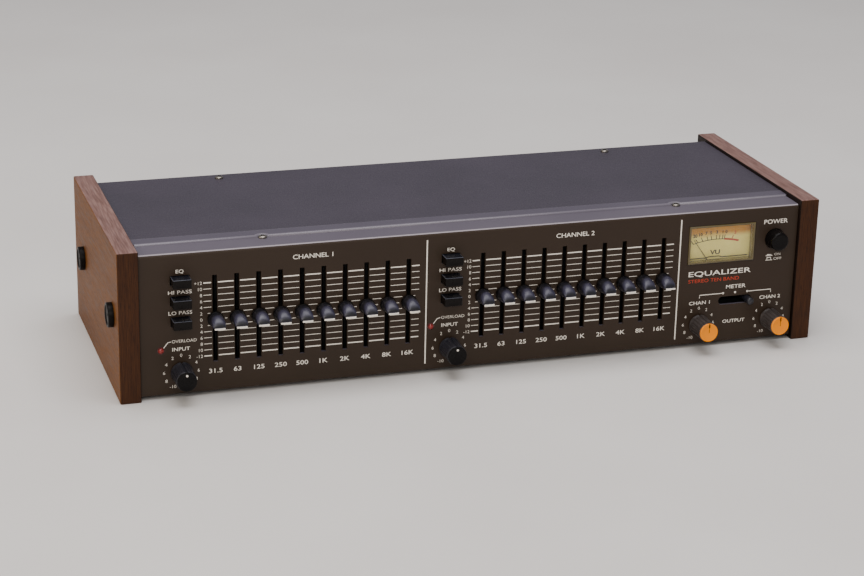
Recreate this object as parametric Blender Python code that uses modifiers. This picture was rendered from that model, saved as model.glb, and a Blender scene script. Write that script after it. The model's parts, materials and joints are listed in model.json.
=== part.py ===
"""Stereo ten-band graphic equalizer in a steel case between two wooden side panels.

Units are metres. +Z is up, the front panel faces -Y and +X is on the right of a person who
faces it. The origin is at the bottom centre of the bounding box. Every sub-part is its own
object; pieces that move have their origin on their joint's axis.
"""

import math

import bmesh
import bpy
from mathutils import Matrix

# Overall size, over the wooden side panels
WIDTH = 0.482
HEIGHT = 0.101
DEPTH = 0.173
WOOD = 0.0137
WOOD_EDGE = 0.0008

# Clearance between pieces that touch, how far joined shapes sink into each other, and how far
# a cutter runs past the face that it opens
GAP = 0.0003
SINK = 0.0005
PAST = 0.001

# Sheet thicknesses
PANEL_SHEET = 0.002
STEEL_SHEET = 0.0012
COVER_SHEET = 0.001
BOARD_SHEET = 0.0016

# Places along Y: the knobs reach as far forward as the wood reaches back
KNOB_REACH = 0.019
PANEL_RECESS = 0.003
PANEL_FRONT = KNOB_REACH - (DEPTH - PANEL_RECESS + KNOB_REACH) / 2
PANEL_BACK = PANEL_FRONT + PANEL_SHEET
WOOD_FRONT = PANEL_FRONT - PANEL_RECESS
WOOD_REAR = WOOD_FRONT + DEPTH
REAR_RECESS = 0.0135
REAR_FACE = WOOD_REAR - REAR_RECESS
COVER_FRONT = WOOD_FRONT + 0.022
FLANGE_END = WOOD_FRONT + 0.034
SCREW_LINE = WOOD_FRONT + 0.0203

# Heights and the half width between the wooden panels
PANEL_BOTTOM = 0.003
PANEL_TOP = 0.0976
TRAY_BOTTOM = PANEL_BOTTOM + PANEL_SHEET + GAP
TRAY_FLOOR = TRAY_BOTTOM + STEEL_SHEET + GAP
HALF_INNER = WIDTH / 2 - WOOD - GAP
CORNER = 0.0025
LOWER_FLANGE = 0.015
TOP_SCREW_X = 0.1435
SCREW_NOTCH = 0.0046

# Behind the front panel: switch and potentiometer bodies stand on upright boards
BODY_FRONT = PANEL_FRONT + 0.0095
BOARD_FRONT = PANEL_FRONT + 0.0235
BOARD_BACK = BOARD_FRONT + BOARD_SHEET

# Slide controls
BANDS = ("31_5", "63", "125", "250", "500", "1k", "2k", "4k", "8k", "16k")
BAND_PITCH = 0.01425
FIRST_BAND = -0.1787
CHANNEL_STEP = 0.1791
SLOT_WIDTH = 0.0031
SLOT_LENGTH = 0.0586
SLOT_CENTRE = 0.0519
SLIDER_REACH = 0.0153
LEVER_HALF_WIDTH = 0.0008
LEVER_HALF_HEIGHT = 0.0025
LEVER_DEPTH = 0.0175
POT_WIDTH = 0.0095
POT_LENGTH = 0.075
TRACK_WIDTH = 0.0036
TRACK_LENGTH = 0.062
TRACK_FLOOR = 0.004

# Push buttons, one column for each channel, and the input level knob under them
COLUMN = -0.2010
BUTTON_HEIGHTS = {"eq": 0.0794, "hi_pass": 0.0656, "lo_pass": 0.0517}
BUTTON_WIDTH = 0.0119
BUTTON_HEIGHT = 0.0058
BUTTON_REACH = 0.0085
WINDOW_MARGIN = 0.0004
STEM_WIDTH = 0.003
STEM_DEPTH = 0.0155
BUTTON_DEPTH = 0.0045
BUTTON_EDGE = 0.0004
STEP = 0.0001
SWITCH_WIDTH = 0.0100
SWITCH_HEIGHT = 0.0090
WELL_MARGIN = 0.0007
BUTTON_TRAVEL = 0.004
TRAVEL_MARGIN = 0.0015

# Rotary knobs
INPUT_Z = 0.0177
OUTPUT_Z = 0.0172
KNOB_HEIGHT = 0.0176
KNOB_BASE = 0.00715
KNOB_FACE = 0.0066
SHAFT = 0.003
SHAFT_DEPTH = 0.0165
SHAFT_HOLE = 0.004
POT_RADIUS = 0.008
BOARD_MARGIN = 0.001
OUTPUT_KNOBS = {"output_knob_1": 0.1574, "output_knob_2": 0.2104}

# Overload lamps
LAMP_OFFSET = -0.0130
LAMP_HEIGHT = 0.0332
LAMP_RADIUS = 0.002
LAMP_COLLAR = 0.0007
LAMP_COLLAR_LENGTH = 0.0010
LAMP_DEPTH = 0.008

# Level meter
METER_LEFT = 0.1467
METER_RIGHT = 0.1960
METER_LOW = 0.0601
METER_HIGH = 0.0876
DIAL_DEPTH = 0.0065
NEEDLE_X = (METER_LEFT + METER_RIGHT) / 2
NEEDLE_Z = 0.0504
NEEDLE_LENGTH = 0.0315
NEEDLE_REST = math.radians(-35.5)
CASE_WALL = 0.0013
WINDOW_PROUD = 0.0004
WINDOW_SHEET = 0.0008
WINDOW_DEPTH = 0.0045

# Meter selector, at rest in its right-hand position
SELECTOR_LEFT = 0.1715
SELECTOR_RIGHT = 0.1960
SELECTOR_Z = 0.0324
SELECTOR_HEIGHT = 0.0058
SELECTOR_REST = 0.1929
SELECTOR_RADIUS = 0.0026
SELECTOR_REACH = 0.007
SELECTOR_EDGE = 0.0006
SELECTOR_DEPTH = 0.0130

# Power button
POWER_X = 0.2108
POWER_Z = 0.0743
POWER_EDGE = 0.0008
POWER_RADIUS = 0.0070
POWER_HOLE = 0.0074
POWER_REACH = 0.0090

# Round caps over the bolts that hold the wooden panels
BOLT_CAP_RADIUS = 0.0081
BOLT_CAP_PROUD = 0.0036
BOLT_CAP_DISH = 0.0008
BOLT_CAP_EDGE = 0.0006
BOLT_CAP_Z = 0.0534
BOLT_CAP_PLACES = {"front": WOOD_FRONT + 0.022, "rear": WOOD_FRONT + 0.136}

# Rear panel fittings
JACK_PLATE_X = -0.150
JACK_PLATE_Z = 0.050
JACK_PITCH_X = 0.020
JACK_PITCH_Z = 0.020
JACK_ROWS = 2
JACK_COLUMNS = 4
JACK_MARGIN = 0.010
JACK_PLATE_SHEET = 0.0015
JACK_RADIUS = 0.0041
JACK_BORE = 0.0016
JACK_LENGTH = 0.0090
GLAND_X = 0.180
GLAND_Z = 0.030
GLAND_BORE = 0.0019
GLAND_NECK = 0.0055
GLAND_FLANGE = 0.0080

# Inside the case
MAIN_BOARD_LOW = (-0.200, -0.035, 0.016)
MAIN_BOARD_SIZE = (0.310, 0.090)
POST_INSET = 0.010
POST_RADIUS = 0.003
CHIPS = 6
CHIP_PITCH = 0.045
CHIP_SIZE = (0.020, 0.007, 0.004)
CAPACITORS = 4
CAPACITOR_PITCH = 0.065
CAPACITOR_RADIUS = 0.006
CAPACITOR_LENGTH = 0.017
CORE_LOW = (0.150, 0.010)
CORE_SIZE = (0.054, 0.024, 0.045)
WINDING_SIZE = (0.034, 0.044, 0.025)

PARTS = None
TOOLS = None


def fresh_scene():
    """Empty the scene and make one collection for the parts and one for the cutters."""
    global PARTS, TOOLS
    for old in list(bpy.data.objects):
        bpy.data.objects.remove(old, do_unlink=True)
    PARTS = bpy.data.collections.new("graphic_equalizer")
    TOOLS = bpy.data.collections.new("cutters")
    for collection in (PARTS, TOOLS):
        bpy.context.scene.collection.children.link(collection)


def principled(name, colour, roughness, metallic=0.0):
    """A plain material of one colour."""
    material = bpy.data.materials.new(name)
    material.use_nodes = True
    shader = material.node_tree.nodes["Principled BSDF"]
    shader.inputs["Base Color"].default_value = (*colour, 1.0)
    shader.inputs["Roughness"].default_value = roughness
    shader.inputs["Metallic"].default_value = metallic
    return material


def place(name, bm, location, material, rotation=(0, 0, 0)):
    """Turn a bmesh into a named object of the model."""
    bmesh.ops.recalc_face_normals(bm, faces=bm.faces)
    mesh = bpy.data.meshes.new(name)
    bm.to_mesh(mesh)
    bm.free()
    piece = bpy.data.objects.new(name, mesh)
    piece.location = location
    piece.rotation_euler = rotation
    piece.data.materials.append(material)
    PARTS.objects.link(piece)
    return piece


def block(name, low, high, material):
    """A box between two corners, with its origin in its middle."""
    bm = bmesh.new()
    bmesh.ops.create_cube(bm, size=1.0)
    size = [b - a for a, b in zip(low, high)]
    bmesh.ops.scale(bm, vec=size, verts=bm.verts)
    centre = [(a + b) / 2 for a, b in zip(low, high)]
    return place(name, bm, centre, material)


def rod(name, centre, radius, length, material, axis="Y", sides=24):
    """A cylinder along one of the axes."""
    bm = bmesh.new()
    bmesh.ops.create_cone(
        bm, cap_ends=True, segments=sides, radius1=radius, radius2=radius, depth=length
    )
    turn = {
        "X": Matrix.Rotation(math.pi / 2, 4, "Y"),
        "Y": Matrix.Rotation(math.pi / 2, 4, "X"),
        "Z": Matrix.Identity(4),
    }[axis]
    bmesh.ops.transform(bm, matrix=turn, verts=bm.verts)
    return place(name, bm, centre, material)


def turned(name, profile, centre, material, facing, steps=24):
    """A profile of (radius, height) points, outer side downwards, turned about its height.

    The height axis points along facing: -Y towards the viewer, +Y to the rear, -X or +X.
    """
    bm = bmesh.new()
    points = [bm.verts.new((radius, 0, height)) for radius, height in profile]
    closed = profile[0][0] > 0
    for first, second in zip(points, points[1:] + points[:1] if closed else points[1:]):
        bm.edges.new((first, second))
    rotation = {
        "-Y": (math.pi / 2, 0, 0),
        "+Y": (-math.pi / 2, 0, 0),
        "-X": (0, -math.pi / 2, 0),
        "+X": (0, math.pi / 2, 0),
    }[facing]
    piece = place(name, bm, centre, material, rotation)
    screw = piece.modifiers.new("Turn", "SCREW")
    screw.axis = "Z"
    screw.steps = steps
    screw.render_steps = steps
    screw.use_merge_vertices = True
    screw.merge_threshold = 0.00001
    return piece


def ring_points(half_width, half_height, sides):
    """The corners of a rectangle for four sides, else points around an ellipse."""
    if sides == 4:
        corners = ((1, 1), (-1, 1), (-1, -1), (1, -1))
        return [(half_width * x, half_height * z) for x, z in corners]
    angles = [2 * math.pi * k / sides for k in range(sides)]
    return [(half_width * math.cos(a), half_height * math.sin(a)) for a in angles]


def lofted_mesh(name, sections, sides, material):
    """A closed solid through sections of (reach, half width, half height), front to back.

    The reach is counted forwards from the front panel's face, so the mesh is centred on its
    own axis and has its origin where that axis meets the panel.
    """
    bm = bmesh.new()
    rings = []
    for reach, half_width, half_height in sections:
        outline = ring_points(half_width, half_height, sides)
        rings.append([bm.verts.new((x, -reach, z)) for x, z in outline])
    for front, back in zip(rings, rings[1:]):
        for k in range(sides):
            after = (k + 1) % sides
            bm.faces.new((front[k], front[after], back[after], back[k]))
    bm.faces.new(rings[0])
    bm.faces.new(rings[-1])
    bmesh.ops.recalc_face_normals(bm, faces=bm.faces)
    mesh = bpy.data.meshes.new(name)
    bm.to_mesh(mesh)
    bm.free()
    mesh.materials.append(material)
    return mesh


def on_panel(name, mesh, x, z):
    """Place a control's mesh on the front panel."""
    piece = bpy.data.objects.new(name, mesh)
    piece.location = (x, PANEL_FRONT, z)
    PARTS.objects.link(piece)
    return piece


def folded_sheet(name, path, sweep, thickness, material):
    """A bent sheet: an open path swept straight along a vector and thickened inwards."""
    bm = bmesh.new()
    points = [bm.verts.new(point) for point in path]
    edges = [bm.edges.new(pair) for pair in zip(points, points[1:])]
    swept = bmesh.ops.extrude_edge_only(bm, edges=edges)
    new_points = [item for item in swept["geom"] if isinstance(item, bmesh.types.BMVert)]
    bmesh.ops.translate(bm, verts=new_points, vec=sweep)
    piece = place(name, bm, (0, 0, 0), material)
    solidify = piece.modifiers.new("Thickness", "SOLIDIFY")
    solidify.thickness = thickness
    solidify.offset = -1
    solidify.use_even_offset = True
    return piece


def round_edges(piece, width, segments=2):
    """Round the piece's sharp edges."""
    bevel = piece.modifiers.new("Rounding", "BEVEL")
    bevel.width = width
    bevel.segments = segments
    bevel.limit_method = "ANGLE"


def combine(piece, operation, tools):
    """Unite the tools with a piece, or cut them out of it, in one Boolean step."""
    group = bpy.data.collections.new(f"{piece.name}_{operation.lower()}")
    TOOLS.children.link(group)
    for tool in tools:
        PARTS.objects.unlink(tool)
        group.objects.link(tool)
        tool.hide_render = True
        tool.display_type = "WIRE"
    boolean = piece.modifiers.new(operation.title(), "BOOLEAN")
    boolean.operation = operation
    boolean.operand_type = "COLLECTION"
    boolean.collection = group
    boolean.solver = "EXACT"


def channel_offsets():
    """The X offset of each channel's controls."""
    return {1: 0.0, 2: CHANNEL_STEP}


def wooden_panels(wood, rubber):
    """Two upright boards that the whole unit hangs between, and their bolt caps."""
    for side, sign in (("left", -1), ("right", 1)):
        near = sign * (WIDTH / 2 - WOOD)
        far = sign * WIDTH / 2
        panel = block(
            f"side_panel_{side}",
            (min(near, far), WOOD_FRONT, 0),
            (max(near, far), WOOD_REAR, HEIGHT),
            wood,
        )
        round_edges(panel, WOOD_EDGE)
        for place_name, y in BOLT_CAP_PLACES.items():
            bolt_cap(f"bolt_cap_{side}_{place_name}", side, far + sign * GAP, y, rubber)


def bolt_cap(name, side, x, y, material):
    """A round black cap with a shallow dish in its outer face."""
    profile = (
        (0, BOLT_CAP_PROUD - BOLT_CAP_DISH),
        (BOLT_CAP_RADIUS - 0.0022, BOLT_CAP_PROUD - BOLT_CAP_DISH),
        (BOLT_CAP_RADIUS - 0.0016, BOLT_CAP_PROUD),
        (BOLT_CAP_RADIUS - BOLT_CAP_EDGE, BOLT_CAP_PROUD),
        (BOLT_CAP_RADIUS, BOLT_CAP_PROUD - BOLT_CAP_EDGE),
        (BOLT_CAP_RADIUS, 0),
        (0, 0),
    )
    facing = "-X" if side == "left" else "+X"
    turned(name, profile, (x, y, BOLT_CAP_Z), material, facing, steps=20)


def front_panel(material):
    """The extruded front: a face with a rounded top edge, a top strip and a lower flange."""
    arc = [math.pi / 2 * k / 4 for k in range(5)]
    corner = [
        (
            -HALF_INNER,
            PANEL_FRONT + CORNER * (1 - math.sin(angle)),
            PANEL_TOP - CORNER * (1 - math.cos(angle)),
        )
        for angle in arc
    ]
    path = [
        (-HALF_INNER, FLANGE_END, PANEL_TOP),
        *corner,
        (-HALF_INNER, PANEL_FRONT, PANEL_BOTTOM),
        (-HALF_INNER, PANEL_FRONT + LOWER_FLANGE, PANEL_BOTTOM),
    ]
    panel = folded_sheet("front_panel", path, (2 * HALF_INNER, 0, 0), PANEL_SHEET, material)
    combine(panel, "DIFFERENCE", panel_holes(material))


def panel_hole(name, x, z, half_width, half_height, material):
    """A rectangular cutter through the front panel's face."""
    return block(
        name,
        (x - half_width, PANEL_FRONT - 0.002, z - half_height),
        (x + half_width, PANEL_BACK + 0.002, z + half_height),
        material,
    )


def round_hole(name, x, z, radius, material):
    """A round cutter through the front panel's face."""
    return rod(name, (x, PANEL_FRONT, z), radius, 0.010, material)


def panel_holes(material):
    """One cutter for every opening in the front panel."""
    holes = []
    for channel, offset in channel_offsets().items():
        for index, band in enumerate(BANDS):
            x = FIRST_BAND + offset + BAND_PITCH * index
            name = f"slot_{channel}_{band}"
            holes.append(
                panel_hole(name, x, SLOT_CENTRE, SLOT_WIDTH / 2, SLOT_LENGTH / 2, material)
            )
        for button, z in BUTTON_HEIGHTS.items():
            half_width = BUTTON_WIDTH / 2 + WINDOW_MARGIN
            half_height = BUTTON_HEIGHT / 2 + WINDOW_MARGIN
            name = f"window_{button}_{channel}"
            holes.append(panel_hole(name, COLUMN + offset, z, half_width, half_height, material))
        holes.append(
            round_hole(f"input_hole_{channel}", COLUMN + offset, INPUT_Z, SHAFT_HOLE, material)
        )
        holes.append(
            round_hole(
                f"lamp_hole_{channel}",
                COLUMN + LAMP_OFFSET + offset,
                LAMP_HEIGHT,
                LAMP_RADIUS + GAP,
                material,
            )
        )
    for knob, x in OUTPUT_KNOBS.items():
        holes.append(round_hole(f"{knob}_hole", x, OUTPUT_Z, SHAFT_HOLE, material))
    holes.append(round_hole("power_hole", POWER_X, POWER_Z, POWER_HOLE, material))
    holes.append(
        panel_hole(
            "meter_hole",
            NEEDLE_X,
            (METER_LOW + METER_HIGH) / 2,
            (METER_RIGHT - METER_LEFT) / 2,
            (METER_HIGH - METER_LOW) / 2,
            material,
        )
    )
    holes.append(selector_hole(material))
    return holes


def selector_hole(material):
    """A long hole with round ends for the meter selector's lever."""
    hole = panel_hole(
        "selector_hole",
        (SELECTOR_LEFT + SELECTOR_RIGHT) / 2,
        SELECTOR_Z,
        (SELECTOR_RIGHT - SELECTOR_LEFT) / 2,
        SELECTOR_HEIGHT / 2,
        material,
    )
    bm = bmesh.new()
    bm.from_mesh(hole.data)
    ends = [edge for edge in bm.edges if abs(edge.verts[0].co.y - edge.verts[1].co.y) > GAP]
    bmesh.ops.bevel(
        bm,
        geom=ends,
        offset=SELECTOR_HEIGHT / 2 - 0.0001,
        segments=5,
        profile=0.5,
        affect="EDGES",
    )
    bm.to_mesh(hole.data)
    bm.free()
    return hole


def case(steel, paint):
    """The steel tray, the rear panel and the top cover."""
    path = [
        (-HALF_INNER, PANEL_BACK + GAP, PANEL_TOP),
        (-HALF_INNER, PANEL_BACK + GAP, TRAY_BOTTOM),
        (HALF_INNER, PANEL_BACK + GAP, TRAY_BOTTOM),
        (HALF_INNER, PANEL_BACK + GAP, PANEL_TOP),
    ]
    tray_end = REAR_FACE - STEEL_SHEET - GAP
    sweep = (0, tray_end - PANEL_BACK - GAP, 0)
    tray = folded_sheet("chassis_tray", path, sweep, STEEL_SHEET, steel)
    steps = [
        block(
            f"flange_step_{side}",
            (x - 0.003, PANEL_FRONT, PANEL_TOP - PANEL_SHEET - GAP),
            (x + 0.003, FLANGE_END + GAP, HEIGHT),
            steel,
        )
        for side, x in (("left", -HALF_INNER), ("right", HALF_INNER))
    ]
    combine(tray, "DIFFERENCE", steps)

    rear = block(
        "rear_panel",
        (-HALF_INNER, REAR_FACE - STEEL_SHEET, TRAY_BOTTOM),
        (HALF_INNER, REAR_FACE, PANEL_TOP),
        steel,
    )
    gland_hole = rod(
        "gland_hole", (GLAND_X, REAR_FACE, GLAND_Z), GLAND_NECK + GAP, 0.010, steel, sides=16
    )
    combine(rear, "DIFFERENCE", [gland_hole])

    cover_low = PANEL_TOP + GAP
    cover = block(
        "top_cover",
        (-HALF_INNER, COVER_FRONT, cover_low),
        (HALF_INNER, REAR_FACE, cover_low + COVER_SHEET),
        paint,
    )
    notches = [
        rod(
            f"screw_notch_{side}",
            (x, SCREW_LINE, cover_low),
            SCREW_NOTCH,
            0.006,
            paint,
            axis="Z",
            sides=16,
        )
        for side, x in (("left", -TOP_SCREW_X), ("right", TOP_SCREW_X))
    ]
    combine(cover, "DIFFERENCE", notches)


def sliders(plastic):
    """Twenty slide controls: a cap on a thin lever that runs through its slot."""
    sections = (
        (SLIDER_REACH, 0.0037, 0.0009),
        (0.0095, 0.0043, 0.0030),
        (0.0031, 0.0047, 0.0046),
        (0.0028, 0.0053, 0.0053),
        (0.0008, 0.0053, 0.0053),
        (0.0007, LEVER_HALF_WIDTH, LEVER_HALF_HEIGHT),
        (-LEVER_DEPTH, LEVER_HALF_WIDTH, LEVER_HALF_HEIGHT),
    )
    mesh = lofted_mesh("slider", sections, 12, plastic)
    for channel, offset in channel_offsets().items():
        for index, band in enumerate(BANDS):
            x = FIRST_BAND + offset + BAND_PITCH * index
            on_panel(f"slider_{channel}_{band}", mesh, x, SLOT_CENTRE)


def upright_board(name, left, right, low, high, material):
    """A circuit board standing behind the front panel."""
    return block(name, (left, BOARD_FRONT, low), (right, BOARD_BACK, high), material)


def slide_pot_boards(board_material):
    """A board for each channel with ten slide potentiometers, each open along its track."""
    for channel, offset in channel_offsets().items():
        places = [FIRST_BAND + offset + BAND_PITCH * index for index in range(len(BANDS))]
        board = upright_board(
            f"slide_pot_board_{channel}",
            places[0] - BAND_PITCH / 2,
            places[-1] + BAND_PITCH / 2,
            SLOT_CENTRE - POT_LENGTH / 2 - 0.003,
            SLOT_CENTRE + POT_LENGTH / 2 + 0.003,
            board_material,
        )
        bodies = [
            block(
                f"pot_body_{channel}_{band}",
                (x - POT_WIDTH / 2, BODY_FRONT, SLOT_CENTRE - POT_LENGTH / 2),
                (x + POT_WIDTH / 2, BOARD_FRONT + SINK, SLOT_CENTRE + POT_LENGTH / 2),
                board_material,
            )
            for x, band in zip(places, BANDS)
        ]
        tracks = [
            block(
                f"pot_track_{channel}_{band}",
                (x - TRACK_WIDTH / 2, BODY_FRONT - PAST, SLOT_CENTRE - TRACK_LENGTH / 2),
                (x + TRACK_WIDTH / 2, BOARD_FRONT - TRACK_FLOOR, SLOT_CENTRE + TRACK_LENGTH / 2),
                board_material,
            )
            for x, band in zip(places, BANDS)
        ]
        combine(board, "UNION", bodies)
        combine(board, "DIFFERENCE", tracks)


def push_buttons(plastic):
    """Three latching buttons in each channel, and the round power button."""
    half_stem = STEM_WIDTH / 2
    sections = (
        (BUTTON_REACH, BUTTON_WIDTH / 2 - BUTTON_EDGE, BUTTON_HEIGHT / 2 - BUTTON_EDGE),
        (BUTTON_REACH - BUTTON_EDGE, BUTTON_WIDTH / 2, BUTTON_HEIGHT / 2),
        (-BUTTON_DEPTH, BUTTON_WIDTH / 2, BUTTON_HEIGHT / 2),
        (-BUTTON_DEPTH - STEP, half_stem, half_stem),
        (-STEM_DEPTH, half_stem, half_stem),
    )
    mesh = lofted_mesh("push_button", sections, 4, plastic)
    for channel, offset in channel_offsets().items():
        for button, z in BUTTON_HEIGHTS.items():
            on_panel(f"{button}_button_{channel}", mesh, COLUMN + offset, z)
    sections = (
        (POWER_REACH, POWER_RADIUS - POWER_EDGE, POWER_RADIUS - POWER_EDGE),
        (POWER_REACH - POWER_EDGE, POWER_RADIUS, POWER_RADIUS),
        (-BUTTON_DEPTH, POWER_RADIUS, POWER_RADIUS),
        (-BUTTON_DEPTH - STEP, half_stem, half_stem),
        (-STEM_DEPTH, half_stem, half_stem),
    )
    on_panel("power_button", lofted_mesh("power_button", sections, 24, plastic), POWER_X, POWER_Z)


def knobs(plastic, orange):
    """Four rotary knobs, each with its shaft."""
    profile = (
        (0, KNOB_REACH),
        (KNOB_FACE - 0.0004, KNOB_REACH),
        (KNOB_FACE, KNOB_REACH - 0.0005),
        (KNOB_BASE, KNOB_REACH - KNOB_HEIGHT),
        (SHAFT, KNOB_REACH - KNOB_HEIGHT),
        (SHAFT, -SHAFT_DEPTH),
        (0, -SHAFT_DEPTH),
    )
    for channel, offset in channel_offsets().items():
        centre = (COLUMN + offset, PANEL_FRONT, INPUT_Z)
        turned(f"input_knob_{channel}", profile, centre, plastic, "-Y")
    for knob, x in OUTPUT_KNOBS.items():
        turned(knob, profile, (x, PANEL_FRONT, OUTPUT_Z), orange, "-Y")


def rotary_pot(name, x, z, material):
    """A potentiometer's round body and the cutter for its shaft's bore."""
    depth = BOARD_FRONT + SINK - BODY_FRONT
    body = rod(f"{name}_body", (x, BODY_FRONT + depth / 2, z), POT_RADIUS, depth, material)
    bore_end = PANEL_FRONT + SHAFT_DEPTH + TRAVEL_MARGIN
    bore_length = bore_end - BODY_FRONT + PAST
    centre = (x, bore_end - bore_length / 2, z)
    bore = rod(f"{name}_bore", centre, SHAFT + GAP, bore_length, material)
    return body, bore


def switch_body(name, x, z, material):
    """A push switch's square body and the cutter for its stem's well."""
    body = block(
        f"{name}_body",
        (x - SWITCH_WIDTH / 2, BODY_FRONT, z - SWITCH_HEIGHT / 2),
        (x + SWITCH_WIDTH / 2, BOARD_FRONT + SINK, z + SWITCH_HEIGHT / 2),
        material,
    )
    reach = STEM_WIDTH / 2 + WELL_MARGIN
    well_end = PANEL_FRONT + STEM_DEPTH + BUTTON_TRAVEL + TRAVEL_MARGIN
    well = block(
        f"{name}_well",
        (x - reach, BODY_FRONT - PAST, z - reach),
        (x + reach, well_end, z + reach),
        material,
    )
    return body, well


def control_boards(board_material):
    """The boards with the push switches, the input and the output potentiometers."""
    for channel, offset in channel_offsets().items():
        x = COLUMN + offset
        board = upright_board(
            f"control_board_{channel}",
            x - POT_RADIUS - BOARD_MARGIN,
            x + POT_RADIUS + BOARD_MARGIN,
            INPUT_Z - POT_RADIUS - BOARD_MARGIN,
            max(BUTTON_HEIGHTS.values()) + 0.008,
            board_material,
        )
        fitted = [rotary_pot(f"input_pot_{channel}", x, INPUT_Z, board_material)]
        for button, z in BUTTON_HEIGHTS.items():
            fitted.append(switch_body(f"{button}_switch_{channel}", x, z, board_material))
        combine(board, "UNION", [body for body, _ in fitted])
        combine(board, "DIFFERENCE", [hollow for _, hollow in fitted])

    ends = sorted(OUTPUT_KNOBS.values())
    board = upright_board(
        "output_board",
        ends[0] - POT_RADIUS - BOARD_MARGIN,
        ends[1] + POT_RADIUS + BOARD_MARGIN,
        OUTPUT_Z - POT_RADIUS - BOARD_MARGIN,
        OUTPUT_Z + POT_RADIUS + BOARD_MARGIN,
        board_material,
    )
    fitted = [
        rotary_pot(f"{knob}_pot", x, OUTPUT_Z, board_material)
        for knob, x in OUTPUT_KNOBS.items()
    ]
    combine(board, "UNION", [body for body, _ in fitted])
    combine(board, "DIFFERENCE", [bore for _, bore in fitted])

    body, well = switch_body("power_switch", POWER_X, POWER_Z, board_material)
    body.name = "power_switch_body"
    combine(body, "DIFFERENCE", [well])


def lamps(red):
    """The two overload lamps: a domed lens with a collar behind the panel."""
    dome = [math.pi / 2 * k / 3 for k in range(4)]
    profile = [(LAMP_RADIUS * math.sin(a), LAMP_RADIUS * math.cos(a)) for a in dome]
    profile += [
        (LAMP_RADIUS, -PANEL_SHEET - GAP),
        (LAMP_RADIUS + LAMP_COLLAR, -PANEL_SHEET - GAP),
        (LAMP_RADIUS + LAMP_COLLAR, -PANEL_SHEET - GAP - LAMP_COLLAR_LENGTH),
        (LAMP_RADIUS, -PANEL_SHEET - GAP - LAMP_COLLAR_LENGTH),
        (LAMP_RADIUS, -LAMP_DEPTH),
        (0, -LAMP_DEPTH),
    ]
    for channel, offset in channel_offsets().items():
        centre = (COLUMN + LAMP_OFFSET + offset, PANEL_FRONT, LAMP_HEIGHT)
        turned(f"overload_lamp_{channel}", profile, centre, red, "-Y", steps=16)


def meter(case_material, glass, paper, ink):
    """The level meter: an open case behind the panel, a dial, a clear cover and a needle."""
    inner_left = METER_LEFT + CASE_WALL
    inner_right = METER_RIGHT - CASE_WALL
    dial_front = PANEL_FRONT + DIAL_DEPTH
    case_front = PANEL_BACK + GAP
    low = NEEDLE_Z - 0.007
    high = METER_HIGH + 0.002
    shell = block(
        "meter_case",
        (inner_left - 0.004, case_front, low),
        (inner_right + 0.004, BOARD_FRONT + 0.006, high),
        case_material,
    )
    hollow = block(
        "meter_hollow",
        (inner_left - 0.0025, case_front - 0.001, low + 0.0015),
        (inner_right + 0.0025, BOARD_FRONT + 0.0045, high - 0.0015),
        case_material,
    )
    combine(shell, "DIFFERENCE", [hollow])

    block(
        "meter_dial",
        (inner_left - 0.002, dial_front, low + 0.002),
        (inner_right + 0.002, dial_front + 0.0008, high - 0.002),
        paper,
    )

    cover = block(
        "meter_window",
        (METER_LEFT + GAP, PANEL_FRONT - WINDOW_PROUD, METER_LOW + GAP),
        (METER_RIGHT - GAP, PANEL_FRONT + WINDOW_DEPTH, METER_HIGH - GAP),
        glass,
    )
    inside = block(
        "window_inside",
        (inner_left, PANEL_FRONT + WINDOW_SHEET, METER_LOW + CASE_WALL),
        (inner_right, PANEL_FRONT + WINDOW_DEPTH + PAST, METER_HIGH - CASE_WALL),
        glass,
    )
    combine(cover, "DIFFERENCE", [inside])

    needle_back = dial_front - 0.0011
    needle = block(
        "meter_needle",
        (-0.0003, needle_back - 0.0004, 0),
        (0.0003, needle_back, NEEDLE_LENGTH),
        ink,
    )
    hub = rod("needle_hub", (0, needle_back - 0.0001, 0), 0.0025, 0.0014, ink, sides=12)
    combine(needle, "UNION", [hub])
    pivot = bpy.data.objects.new("needle_pivot", None)
    pivot.location = (NEEDLE_X, 0, NEEDLE_Z)
    pivot.rotation_euler = (0, NEEDLE_REST, 0)
    PARTS.objects.link(pivot)
    needle.parent = pivot
    hub.parent = pivot


def meter_selector(plastic, board_material):
    """The two-way selector's lever and the switch body behind its slot."""
    sections = (
        (SELECTOR_REACH, SELECTOR_RADIUS - SELECTOR_EDGE, SELECTOR_RADIUS - SELECTOR_EDGE),
        (SELECTOR_REACH - SELECTOR_EDGE, SELECTOR_RADIUS, SELECTOR_RADIUS),
        (-SELECTOR_DEPTH, SELECTOR_RADIUS, SELECTOR_RADIUS),
    )
    lever = lofted_mesh("meter_selector_lever", sections, 16, plastic)
    on_panel("meter_selector_lever", lever, SELECTOR_REST, SELECTOR_Z)
    body = block(
        "meter_selector_body",
        (SELECTOR_LEFT - 0.004, BODY_FRONT, SELECTOR_Z - 0.0055),
        (SELECTOR_RIGHT + 0.004, BOARD_FRONT, SELECTOR_Z + 0.0055),
        board_material,
    )
    track_end = PANEL_FRONT + SELECTOR_DEPTH + TRAVEL_MARGIN
    track = block(
        "meter_selector_track",
        (SELECTOR_LEFT, BODY_FRONT - PAST, SELECTOR_Z - SELECTOR_HEIGHT / 2),
        (SELECTOR_RIGHT, track_end, SELECTOR_Z + SELECTOR_HEIGHT / 2),
        board_material,
    )
    combine(body, "DIFFERENCE", [track])


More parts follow.
